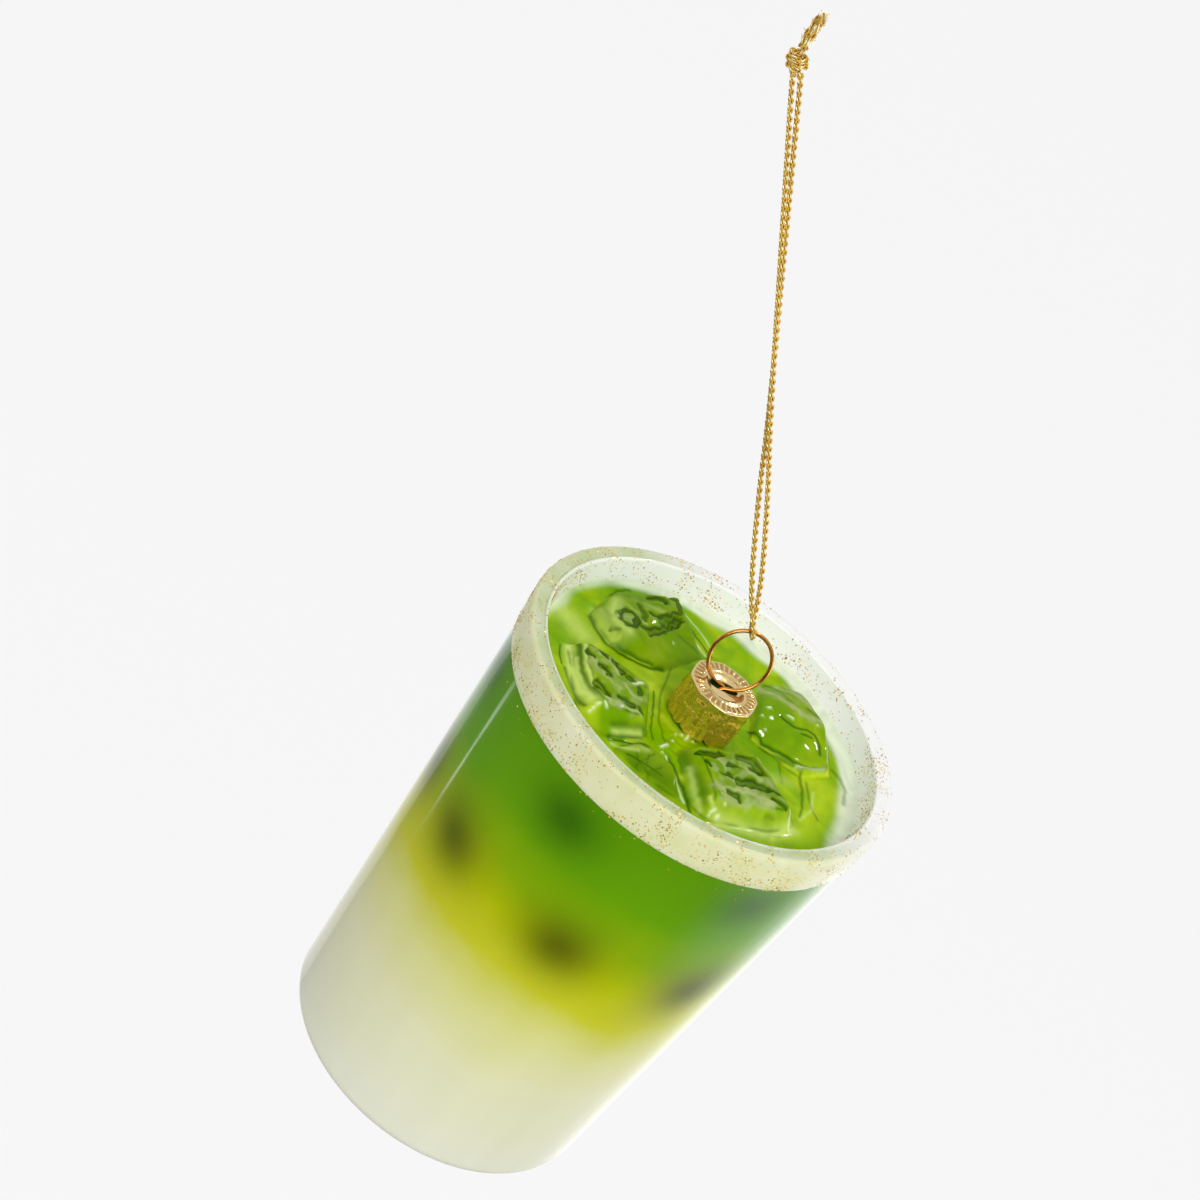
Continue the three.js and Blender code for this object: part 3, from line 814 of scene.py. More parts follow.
LUMPS = (
    IceLump(  # back left
        ((-13.2, 19.6, 3.4), (-16.8, 3.2, 2.9), (-5.4, 14.0, 0.8), (-8.7, 6.2, 1.2),
         (-21.2, 13.0, 1.5), (-21.8, 5.4, 1.6)),
        ((-4.2, 14.6), (-8.3, 4.4), (-16.9, 1.2), (-22.8, 4.8), (-22.2, 13.8), (-13.2, 21.4)),
        ((-20.8, 12.2), (-17.0, 16.2), (-12.6, 19.4), (-10.8, 15.2), (-13.1, 8.2), (-16.7, 4.2),
         (-19.4, 5.6)),
        pit_shade=0.34, pale_heading=200.0, flank_light_share=0.45, shade=0.75,
    ),
    IceLump(  # front left
        ((-20.2, -4.9, 2.6), (-9.2, -3.9, 2.6), (-6.9, -11.8, 2.5), (-13.5, -16.1, 3.3)),
        ((-23.4, -5.2), (-9.0, -2.2), (-4.6, -12.4), (-9.6, -19.8), (-15.6, -19.2)),
        ((-19.8, -5.5), (-17.0, -4.4), (-10.0, -4.6), (-7.6, -8.4), (-7.6, -11.4), (-10.7, -13.8),
         (-13.4, -14.2), (-16.8, -11.0)),
        pit_shade=0.6, pale_heading=205.0, flank_light_share=0.7, shade=0.4,
    ),
    IceLump(  # front right
        ((10.0, -1.6, 2.6), (18.1, -7.4, 2.6), (8.2, -17.2, 3.2), (1.9, -9.4, 2.6)),
        ((10.6, 0.4), (20.8, -7.4), (18.4, -13.0), (9.0, -20.8), (4.6, -20.3), (-0.6, -10.0)),
        ((2.4, -9.8), (4.5, -7.4), (8.1, -4.6), (10.6, -2.8), (17.6, -7.4), (12.0, -13.2),
         (8.4, -15.2), (5.6, -12.8)),
        pit_shade=0.8, pale_heading=-60.0, flank_light_share=0.35, shade=0.35,
    ),
    IceLump(  # back right
        ((6.6, 12.8, 2.4), (15.8, 17.0, 2.9), (20.0, 8.8, 2.2), (17.4, 5.3, 1.8), (8.2, 4.6, 1.2),
         (10.4, 22.8, 1.0)),
        ((4.8, 19.8), (11.0, 24.6), (18.2, 18.4), (21.8, 9.6), (18.0, 3.6), (8.0, 3.4),
         (5.0, 11.6)),
        ((5.4, 17.6), (9.4, 21.8), (13.3, 20.0), (15.8, 17.2), (12.4, 16.2), (8.3, 15.0)),
        pit_shade=0.3, pale_heading=-80.0, shade=0.35,
    ),
    IceLump(  # front wedge
        ((-4.6, -15.2, 1.5), (0.4, -15.8, 1.6), (-7.4, -19.2, 0.7), (3.2, -19.8, 0.8)),
        ((-5.6, -13.8), (1.4, -14.4), (4.8, -21.0), (-9.2, -21.4)),
        pale_heading=-90.0, shade=0.8,
    ),
    IceLump(  # right sliver
        ((18.0, 3.6, 0.5), (20.8, 9.0, 0.55), (23.4, 7.2, 0.45), (24.0, 0.0, 0.4),
         (22.6, -5.2, 0.35), (20.2, -1.8, 0.45)),
        ((16.8, 4.6), (20.9, 11.2), (24.6, 9.0), (25.6, 2.0), (24.6, -6.4), (21.0, -6.6),
         (19.0, -1.0)),
        pale_heading=-20.0, shade=0.0, contact=0.1,
    ),
)


class Mark(str, Enum):
    """What a stroke is: a mask of the drink's material, some of them painted sheen, highlight or
    shade, or a small raised drop with a painted highlight.
    """

    PIT = "pit"
    DARK = "streak_dark"
    PALE = "streak_pale"
    SHEEN = "sheen"
    GLOW = "pale"
    EDGE = "crest"
    BEAD = "bead"


@dataclass(frozen=True)
class Stroke:
    """A soft stroke in the ice: what it is, its half width, its strength and its path."""

    mark: Mark
    width: float
    strength: float
    path: tuple[Point, ...]

    def away(self, x: np.ndarray, y: np.ndarray) -> np.ndarray:
        """Return each position's distance from the path, in half widths."""
        least = np.full_like(x, np.inf)
        for (x0, y0), (x1, y1) in zip(self.path, self.path[1:] or self.path):
            run_x, run_y = x1 - x0, y1 - y0
            share = ((x - x0) * run_x + (y - y0) * run_y) / max(run_x ** 2 + run_y ** 2, 1e-9)
            share = np.clip(share, 0, 1)
            least = np.minimum(least, np.hypot(x - x0 - share * run_x, y - y0 - share * run_y))
        return least / self.width


STROKES = tuple(
    Stroke(mark, width, strength, tuple(zip(path[::2], path[1::2])))
    for mark, *rows in (
        # back left
        (Mark.DARK, (0.4, 1.0, -22.2, 4.7, -20.5, 3.2, -18.0, 1.5, -15.5, 1.5, -12.7, 2.3, -10.6,
          3.4, -8.8, 5.0), (0.22, 0.88, -17.3, 2.0, -15.0, 2.4, -12.7, 3.2, -10.4, 4.2),
         (0.18, 0.62, -9.7, 13.0, -7.5, 13.7, -5.7, 14.0),
         (0.25, 0.75, -21.7, 12.1, -21.3, 15.3, -20.5, 16.9, -19.8, 17.6),
         (0.2, 0.5, -19.4, 13.4, -17.8, 14.0, -17.0, 14.2),
         (0.22, 0.94, -11.6, 20.9, -9.0, 19.4, -6.2, 17.8, -3.8, 16.4)),
        (Mark.EDGE, (0.16, 0.8, -12.4, 19.9, -10.4, 18.0, -8.2, 17.4, -6.2, 16.6, -4.6, 15.6),
         (0.14, 0.7, -11.2, 22.0, -8.6, 20.8, -6.0, 19.4, -4.0, 17.8)),
        (Mark.PALE, (0.22, 0.5, -20.1, 10.3, -18.8, 10.7, -17.2, 9.9, -15.8, 8.4, -14.8, 8.7),
         (1.0, 0.4, -22.2, 6.5, -19.8, 4.0, -17.4, 2.7),
         (0.5, 0.4, -16.7, 13.4, -14.9, 13.3, -13.7, 14.2),
         (1.2, 0.6, -20.3, 10.5, -20.0, 7.5, -18.8, 4.9, -16.6, 4.3)),
        (Mark.PIT, (0.5, 1.0, -16.0, 7.4, -16.3, 6.0, -17.4, 5.5, -18.5, 6.2, -19.1, 7.7, -18.7,
          9.1, -17.7, 9.6, -16.5, 8.9, -16.0, 7.4)),
        (Mark.SHEEN, (0.6, 0.6, -18.2, 7.6, -16.9, 7.6)),
        (Mark.PIT, (0.55, 0.99, -16.9, 15.3, -15.8, 16.7, -14.3, 16.8),
         (0.43, 0.66, -17.6, 12.5, -16.2, 11.0, -15.3, 9.5),
         (0.37, 0.83, -15.3, 11.7, -14.1, 12.0, -13.0, 14.0, -11.9, 17.3),
         (0.73, 0.99, -14.9, 7.7, -13.8, 7.9, -12.7, 10.0, -11.8, 12.8, -11.0, 16.1),
         (0.61, 0.66, -13.2, 12.1, -12.0, 13.8, -11.1, 16.4), (0.49, 0.61, -18.4, 3.7, -17.7, 3.5),
         (0.49, 0.77, -14.2, 18.7, -12.7, 18.8, -11.6, 17.6)),
        (Mark.DARK, (0.6, 0.44, -20.6, 5.0, -19.3, 4.1)),
        # front left
        (Mark.DARK, (0.16, 1.0, -23.3, -6.3, -22.5, -8.6, -21.4, -10.3),
         (0.32, 0.75, -21.7, -5.9, -20.4, -8.2, -19.7, -9.5),
         (0.5, 0.94, -21.2, -4.6, -20.6, -6.2, -18.7, -10.0, -16.9, -12.6, -14.5, -15.4),
         (0.28, 0.88, -20.7, -10.6, -19.0, -12.6, -17.0, -15.1, -15.1, -17.1)),
        (Mark.PALE, (0.7, 0.9, -22.1, -5.9, -20.7, -8.7, -18.6, -11.9, -16.7, -14.2, -14.8, -15.8),
         (0.3, 0.8, -20.2, -8.0, -19.1, -10.3, -17.5, -12.5, -15.8, -14.8),
         (0.25, 0.8, -20.5, -5.2, -19.4, -7.5, -17.7, -10.3, -15.9, -13.1)),
        (Mark.SHEEN, (0.5, 0.8, -19.2, -7.0, -17.1, -9.2, -14.6, -10.2, -12.5, -10.3),
         (0.4, 0.9, -18.0, -5.6, -15.9, -5.9, -13.9, -7.6),
         (0.5, 0.9, -12.0, -8.7, -10.3, -9.3, -9.2, -8.9),
         (0.45, 0.9, -13.0, -14.8, -11.0, -13.9, -9.3, -13.0, -8.1, -12.2)),
        (Mark.PIT, (0.43, 0.88, -19.6, -6.3, -18.5, -7.4), (0.39, 0.88, -17.8, -5.2, -16.6, -5.6),
         (0.76, 0.99, -16.5, -8.0, -15.1, -8.7), (0.61, 0.99, -15.3, -5.1, -13.5, -6.0),
         (0.85, 0.99, -15.6, -12.4, -13.8, -13.5), (0.61, 0.99, -11.5, -12.1, -9.4, -11.5),
         (0.51, 0.88, -12.3, -6.0, -10.4, -6.5, -9.5, -7.6),
         (0.34, 0.77, -8.5, -10.6, -7.5, -11.6)),
        (Mark.DARK, (0.16, 1.0, -19.9, -5.9, -18.5, -8.5, -16.8, -11.3, -15.4, -13.8, -14.0, -15.3,
          -12.9, -14.9, -10.8, -14.3, -9.5, -13.7, -8.0, -12.4)),
        (Mark.EDGE, (0.18, 0.7, -20.4, -4.2, -17.5, -4.0, -14.0, -3.8, -10.5, -3.5, -8.6, -4.0,
          -7.2, -7.5, -5.8, -10.5)),
        (Mark.DARK, (0.16, 1.0, -20.1, -5.1, -17.8, -4.9, -14.9, -4.8, -12.0, -4.8, -9.4, -5.2),
         (0.16, 1.0, -8.0, -1.0, -7.0, -3.6, -6.1, -6.7, -5.2, -9.7, -4.0, -11.6),
         (0.5, 0.62, -10.2, -16.8, -8.9, -15.5, -7.5, -14.1, -6.0, -12.4),
         (0.26, 1.0, -9.8, -18.5, -8.7, -17.0, -7.3, -15.3, -5.5, -13.2),
         (0.3, 1.0, -9.3, -18.7, -7.6, -16.9, -6.1, -16.0, -4.0, -15.8)),
        (Mark.PALE, (0.45, 0.5, -9.6, -17.4, -7.7, -15.2, -6.0, -13.2),
         (0.4, 0.6, -8.6, -19.2, -7.1, -18.9, -5.0, -17.5)),
        (Mark.BEAD, (0.28, 0.22, -13.0, -15.8, -12.5, -16.1),
         (0.3, 0.22, -13.8, -16.6, -13.6, -16.4), (0.28, 0.22, -14.0, -17.2),
         (0.28, 0.22, -14.1, -17.7), (0.28, 0.22, -11.2, -7.0, -10.2, -5.1)),
        # front right
        (Mark.DARK, (0.34, 1.0, -0.5, -13.1, 1.4, -14.8, 3.6, -17.3, 5.2, -19.6, 6.2, -20.8),
         (0.8, 0.62, 0.8, -10.8, 2.9, -13.6, 5.4, -16.3, 7.2, -18.8),
         (0.25, 0.75, 5.0, -13.0, 7.0, -15.9, 8.1, -17.7)),
        (Mark.EDGE, (0.18, 0.9, -1.1, -13.2, 0.9, -15.4, 3.0, -17.9, 4.8, -20.2)),
        (Mark.PALE, (0.4, 0.5, 2.6, -13.2, 4.2, -15.9, 5.7, -18.5, 7.4, -19.8),
         (0.3, 0.6, 7.4, -17.8, 8.8, -18.7)),
        (Mark.SHEEN, (0.5, 0.8, 5.3, -9.1, 6.9, -9.3, 8.3, -12.0),
         (0.5, 0.8, 9.4, -6.8, 11.3, -6.7, 12.5, -6.6),
         (0.8, 0.95, 7.3, -15.2, 8.7, -14.9, 11.2, -12.0, 13.6, -10.8, 15.5, -9.8),
         (0.6, 0.8, 8.8, -16.7, 11.5, -14.7, 13.9, -11.9, 15.4, -10.6),
         (0.35, 0.7, 8.6, -6.3, 10.1, -5.0)),
        (Mark.PIT, (0.55, 0.99, 2.6, -10.3, 4.4, -9.2, 5.3, -7.4),
         (0.3, 0.88, 3.9, -11.5, 5.0, -11.7), (0.98, 0.83, 7.9, -5.0, 9.7, -3.8, 11.5, -4.6),
         (0.49, 0.88, 6.9, -8.9, 8.4, -7.5), (0.49, 0.88, 7.1, -11.7, 8.2, -10.6),
         (0.61, 0.99, 10.3, -5.6, 11.7, -5.2), (0.92, 1.0, 9.8, -10.8, 11.4, -8.9, 13.8, -7.4),
         (0.49, 0.99, 14.1, -7.3, 15.5, -6.7), (0.55, 0.88, 9.3, -14.7, 10.7, -14.3),
         (0.55, 0.99, 15.6, -8.6, 17.4, -8.2)),
        (Mark.DARK, (0.16, 0.88, 2.4, -10.4, 4.5, -12.5, 6.7, -15.3, 8.5, -16.9, 11.2, -14.9, 13.9,
          -12.0, 17.5, -8.9)),
        (Mark.EDGE, (0.2, 0.9, 7.1, -3.6, 10.0, -1.4, 12.2, -2.9, 15.5, -5.3, 18.2, -7.2, 19.6,
          -8.6, 20.4, -9.8)),
        (Mark.DARK, (0.2, 0.75, 7.5, -4.8, 9.8, -2.4, 12.4, -4.4, 14.9, -6.1, 17.4, -7.2)),
        (Mark.PALE, (1.1, 0.7, 10.4, -19.0, 13.2, -17.0, 15.6, -15.2, 18.2, -12.8, 20.4, -8.5)),
        (Mark.DARK, (0.4, 0.44, 15.9, -11.9, 16.9, -11.0), (0.4, 0.56, 18.6, -8.0, 19.5, -7.6),
         (0.2, 1.0, 17.7, -13.3, 19.5, -11.8)),
        (Mark.PALE, (0.22, 0.9, 19.3, -11.2, 20.8, -9.2)),
        (Mark.BEAD, (0.3, 0.22, 8.7, -19.2, 9.1, -18.5), (0.28, 0.22, 8.8, -19.6),
         (0.3, 0.22, 9.9, -18.9, 10.0, -18.5), (0.28, 0.22, 9.8, -17.0), (0.28, 0.3, -1.9, -10.9),
         (0.28, 0.3, -1.6, -8.8), (0.3, 0.3, -0.1, -6.5, -0.0, -5.3), (0.28, 0.3, -1.7, -6.8),
         (0.28, 0.3, 1.0, -5.6), (0.28, 0.3, -1.8, -13.0), (0.28, 0.3, -0.9, -6.0),
         (0.3, 0.3, -2.5, -12.0, -1.9, -10.4)),
        # back right
        (Mark.SHEEN, (0.7, 0.9, 5.3, 17.2, 7.8, 16.2, 10.5, 15.9, 13.2, 15.7, 15.4, 16.8),
         (0.6, 0.85, 7.0, 20.6, 9.4, 21.0, 11.6, 19.8, 13.4, 19.2),
         (0.45, 0.7, 8.0, 22.4, 10.4, 22.8, 12.0, 21.8)),
        (Mark.DARK, (0.4, 0.56, 5.1, 19.2, 6.8, 19.8, 9.2, 17.4, 11.0, 16.7),
         (0.4, 0.94, 12.8, 17.9, 14.8, 17.6),
         (0.24, 1.0, 9.9, 11.9, 11.2, 11.7, 12.6, 11.9, 14.3, 13.0, 15.7, 13.0, 17.1, 11.8, 17.9,
          9.9), (0.24, 0.94, 13.9, 11.4, 15.5, 11.9),
         (0.24, 1.0, 7.1, 5.7, 9.7, 4.5, 12.3, 4.7, 15.5, 5.1, 17.9, 6.0, 19.8, 8.2),
         (0.2, 0.75, 9.7, 3.9, 12.9, 4.3, 16.5, 4.9, 18.6, 6.5)),
        (Mark.EDGE, (0.2, 0.5, 15.9, 4.8, 18.3, 6.2, 19.8, 8.1),
         (0.2, 0.6, 17.2, 15.0, 18.6, 12.4, 19.6, 9.6)),
        (Mark.BEAD, (0.3, 0.3, 7.5, 11.6, 7.8, 11.9), (0.3, 0.3, 10.7, 12.9, 11.5, 13.0),
         (0.28, 0.3, 15.2, 15.3), (0.28, 0.3, 8.9, 7.0), (0.28, 0.3, 7.4, 9.2)),
        # right
        (Mark.DARK, (0.25, 0.7, 17.0, 4.7, 18.5, 2.2, 20.0, -2.1, 20.4, -4.4),
         (0.22, 0.6, 18.6, 4.1, 20.5, 0.4, 21.8, -1.4, 23.0, -2.2),
         (0.2, 0.5, 13.6, 4.0, 15.5, 0.1),
         (0.35, 0.5, 20.9, 11.5, 22.8, 11.0, 24.3, 9.1, 25.1, 5.9)),
        (Mark.GLOW, (2.6, 0.62, 17.6, 3.2, 20.6, 5.6, 22.4, 1.0, 21.2, -4.4)),
        (Mark.PALE, (0.3, 0.5, 20.2, 3.0, 21.4, -1.0, 20.6, -5.0)),
        # wedge
        (Mark.DARK, (0.2, 1.0, -6.0, -19.4, -3.3, -18.9, 0.0, -18.9),
         (0.15, 0.88, -5.5, -17.6, -4.2, -19.0, -1.6, -20.2),
         (0.15, 0.75, -3.4, -16.8, -2.5, -19.8, -1.3, -20.8),
         (0.15, 0.75, -3.9, -20.3, -3.3, -17.7, -2.7, -16.2),
         (0.15, 0.75, -2.0, -19.9, -0.7, -17.5), (2.2, 0.44, -2.9, -19.6, 0.9, -20.2)),
        (Mark.PALE, (0.5, 0.35, -6.2, -17.6, -3.9, -16.4)),
        # pale drink at the front right, and between the two lumps on the left
        (Mark.GLOW, (2.4, 0.5, 23.0, 1.5, 22.6, -4.0, 20.2, -10.0)),
        (Mark.PALE, (1.3, 0.3, 13.0, -1.5, 15.5, 1.0), (2.4, 0.5, -25.5, 1.0, -21.5, -0.5)),
        (Mark.DARK, (0.2, 0.62, -7.8, 6.7, -6.8, -1.0, -4.9, -6.6, -2.4, -10.1)),
    ) for width, strength, *path in rows)


def lowest_of(x: np.ndarray, y: np.ndarray, faces: Sequence[Corner], soft: float) -> np.ndarray:
    """Return the lowest of some sloping faces, with the edges between them rounded."""
    levels = np.array([a * x + b * y + c for a, b, c in faces])
    lowest = levels.min(axis=0)
    return lowest - soft * np.log(np.sum(np.exp((lowest - levels) / soft), axis=0))


def blend_lower(one: np.ndarray, other: np.ndarray, soft: float) -> np.ndarray:
    """Return the lower of two surfaces, with the edge between them rounded."""
    lower = np.minimum(one, other)
    return lower - soft * np.log1p(np.exp(-np.abs(one - other) / soft))


@dataclass
class DrinkSurface:
    """The top of the glass: the drink, the ice that stands in it, and their masks."""

    level: float
    inner: float
    outer: float
    fillet: float
    recess: float
    undercut: float = 0.55  # how deep the ice's flanks run on under the drink
    edge_round: float = 0.13
    foot_round: float = 0.22
    steep_slope: float = 0.42  # a face that slopes more than this is a flank
    side_round: float = 0.34
    pit_depth: float = 0.55  # of a pit with a half width of 1
    line_relief: float = 0.05  # how far the fine lines stand up or lie in
    slab: float = 1.1  # from the drink's level down to the hidden underside
    swell: Roughness = Roughness(0.07, 9.0, 11)
    ripple: Roughness = Roughness(0.025, 3.2, 12)
    chop: Roughness = Roughness(0.17, 1.9, 13)  # where the drink is choppy, in front of the neck
    chop_place: Point = (-0.5, -9.6)
    chop_reach: Point = (2.6, 3.4)
    shore: Roughness = Roughness(0.7, 11.0, 14)  # how far the pale drink at the wall wanders
    sways: tuple[Roughness, Roughness] = (Roughness(1.0, 2.0, 15), Roughness(1.0, 2.0, 16))
    ice_swell: Roughness = Roughness(0.07, 4.5, 40)
    face_cloud: Roughness = Roughness(1.0, 2.6, 80)
    foot_cloud: Roughness = Roughness(1.0, 5.0, 90)
    pale_cloud: Roughness = Roughness(0.25, 3.5, 100)
    rows: int = 152
    columns: int = 560
    masks: dict[str, np.ndarray] = field(default_factory=dict)

    def cover(self, name: str, values: np.ndarray) -> None:
        """Raise a mask to some values where they are higher."""
        self.masks[name] = np.maximum(self.masks[name], values)

    def slopes(self, steps: np.ndarray, x: np.ndarray, y: np.ndarray) -> np.ndarray:
        """Turn height steps over the grid's rows and columns into slopes along x and y.

        Args:
            steps: Height change for one row and for one column.
            x: Positions across.
            y: Positions along.

        Returns:
            The two slopes, last in the array.
        """
        (x_row, x_column), (y_row, y_column) = np.gradient(x), np.gradient(y)
        area = x_row * y_column - x_column * y_row
        slope_x = (steps[0] * y_column - steps[1] * y_row) / area
        slope_y = (steps[1] * x_row - steps[0] * x_column) / area
        return np.stack([slope_x, slope_y], axis=-1)

    def draw(self, x: np.ndarray, y: np.ndarray) -> np.ndarray:
        """Add the strokes to the masks, and return how far they raise or sink the surface."""
        loose = {Mark.PIT: 0.22, Mark.SHEEN: 0.3}  # how far the outlines of patches wander
        sway_x, sway_y = (sway.at(x, y) for sway in self.sways)
        rise = np.zeros_like(x)
        for stroke in STROKES:
            wander = loose.get(stroke.mark, 0.05)
            away = stroke.away(x + wander * sway_x, y + wander * sway_y)
            drawn = stroke.strength * np.exp(-away ** 2)
            # a drop raises the surface and is painted pale, a painted highlight
            if stroke.mark is Mark.BEAD:
                rise += drawn
                self.cover("crest", np.exp(-1.5 * away ** 2))
                continue
            # a pit sinks the surface and is painted dark, a painted shade in its hollow; a wide
            # pit's middle is painted lighter as lit, and no painted sheen stays in it
            if stroke.mark is Mark.PIT:
                bowl = 1 - smooth_step(0.5, 1.4, away)
                rise -= self.pit_depth * min(stroke.width, 0.7) * bowl
                middle = 1 - smooth_step(0.1, 0.75, away)
                lit = smooth_step(0.3, 0.7, stroke.width) * 0.6
                drawn = stroke.strength * bowl * (1 - lit * middle)
                self.masks["sheen"] *= 1 - bowl
            elif stroke.mark in (Mark.PALE, Mark.GLOW, Mark.EDGE):
                rise += self.line_relief * drawn
            else:
                rise -= self.line_relief * drawn
            self.cover(stroke.mark.value, drawn)
        return rise

    def set_in(self, number: int, x: np.ndarray, y: np.ndarray, height: np.ndarray) -> np.ndarray:
        """Set a lump of ice into the drink, and fill the masks of its faces, flanks and foot.

        Args:
            number: Which lump it is. It also fixes the lump's random draws.
            x: Positions across.
            y: Positions along.
            height: The surface so far.

        Returns:
            The surface with the lump.
        """
        lump, wide = LUMPS[number], self.foot_round
        planes = lump.planes(self.undercut)
        tops = [plane for plane in planes if math.hypot(*plane[:2]) < self.steep_slope]
        flanks = [plane for plane in planes if plane not in tops]
        top, side = (lowest_of(x, y, some, self.side_round) for some in (tops, flanks))
        block = blend_lower(top, side, self.edge_round)
        slope = self.slopes(np.stack(np.gradient(side)), x, y)
        raised = smooth_step(-0.25, 0.35, block - height)
        block = block + self.ice_swell.at(x, y, number) * raised
        if lump.pitted:
            face = smooth_step(-0.4, 0.5, inside(x, y, lump.pitted)) * raised * lump.pit_shade
            block = block + 0.1 * face
            self.cover("face", face)
            # painted sheen, in clouds over the rough face
            cloud = smooth_step(-0.4, 1.0, self.face_cloud.at(x, y, number))
            self.cover("sheen", face * cloud * 0.6)
        higher, lower = np.maximum(height, block), np.minimum(height, block)
        merged = higher + wide * np.log1p(np.exp(-(higher - lower) / wide)) - wide * 0.1
        contact = lump.contact * np.exp(-((block - height) / 0.22) ** 2)
        contact *= smooth_step(-0.9, 0.6, self.foot_cloud.at(x, y, number))
        height = np.where(block > height - 4 * wide, merged, height)
        # painted light: flanks that face pale_heading are painted paler, as light shining through
        # the ice
        turn = math.radians(lump.pale_heading)
        facing = -(slope[..., 0] * math.cos(turn) + slope[..., 1] * math.sin(turn))
        pale = smooth_step(0.1, 0.9, facing) * raised * smooth_step(0.0, 0.8, top - side)
        pale *= 0.75 + self.pale_cloud.at(x, y, number)
        for name, hidden, values in (("block", raised, raised * lump.shade),
                                     ("pale", raised, np.clip(pale * lump.flank_light_share, 0, 1)),
                                     ("foot", raised * 0.5, contact * 0.9)):
            self.masks[name] *= 1 - hidden
            self.cover(name, values)
        return height

    def shape(self, x: np.ndarray, y: np.ndarray) -> np.ndarray:
        """Work out the surface's height above the drink's level, and fill the masks.

        Args:
            x: Positions across.
            y: Positions along.

        Returns:
            The height at each position.
        """
        radius = np.hypot(x, y)
        off_x, off_y = ((place - middle) / reach for place, middle, reach in zip(
            (x, y), self.chop_place, self.chop_reach))
        height = (self.swell.at(x, y) + self.ripple.at(x, y)
                  + np.exp(-(off_x ** 2 + off_y ** 2)) * self.chop.at(x, y))
        self.masks = {name: np.zeros_like(x) for name in (
            "block", "pale", "streak_dark", "streak_pale", "foot", "face", "sheen", "pit",
            "crest")}
        for number in range(len(LUMPS)):
            height = self.set_in(number, x, y, height)
        height = height + self.draw(x, y)
        far = smooth_step(0.1, 0.8, (1.2 * x + 2 * y) / (2.33 * radius))
        edge = self.recess - (0.1 + self.shore.at(x, y) + 2.9 * far)
        self.masks["shore"] = smooth_step(edge - 1.3, edge + 0.9, radius) * 0.95
        rise = np.clip(radius - (self.recess - self.fillet), 0, self.fillet * 0.96)
        height = height * (1 - smooth_step(self.recess - 3.0, self.recess - 0.8, radius))
        height += self.fillet - np.sqrt(self.fillet ** 2 - rise ** 2)
        return height

    def build(self, material: bpy.types.Material) -> bpy.types.Object:
        """Build the slab whose top is the surface."""
        radii = np.linspace(self.inner, self.outer, self.rows)
        headings = FULL_TURN * np.arange(self.columns) / self.columns
        x = radii[:, None] * np.cos(headings)
        y = radii[:, None] * np.sin(headings)
        top = np.stack([x, y, self.level + self.shape(x, y)], axis=-1).reshape(-1, 3)
        under = [(radius, self.level - self.slab) for radius in (self.outer, self.inner)]
        points = np.vstack([top, revolved(under, self.columns)])
        faces = ring_faces(self.rows + 2, self.columns, back=True, shut=True)
        piece = mesh_object("iced_drink", points, faces, material, sharp=60.0)
        spare = np.zeros(2 * self.columns)
        for name, values in self.masks.items():
            add_mask(piece, name, np.concatenate([values.ravel(), spare]))
        return piece


@dataclass(frozen=True)
class SpotRow:
    """A row of dark spots round the wall, where the paint underneath shows through."""

    mask: str
    count: int
    first: float  # heading of one spot, in degrees
    apart: float  # degrees from spot to spot
    height: float
    zigzag: float  # how much higher every other spot sits
    size: float
    strength: float


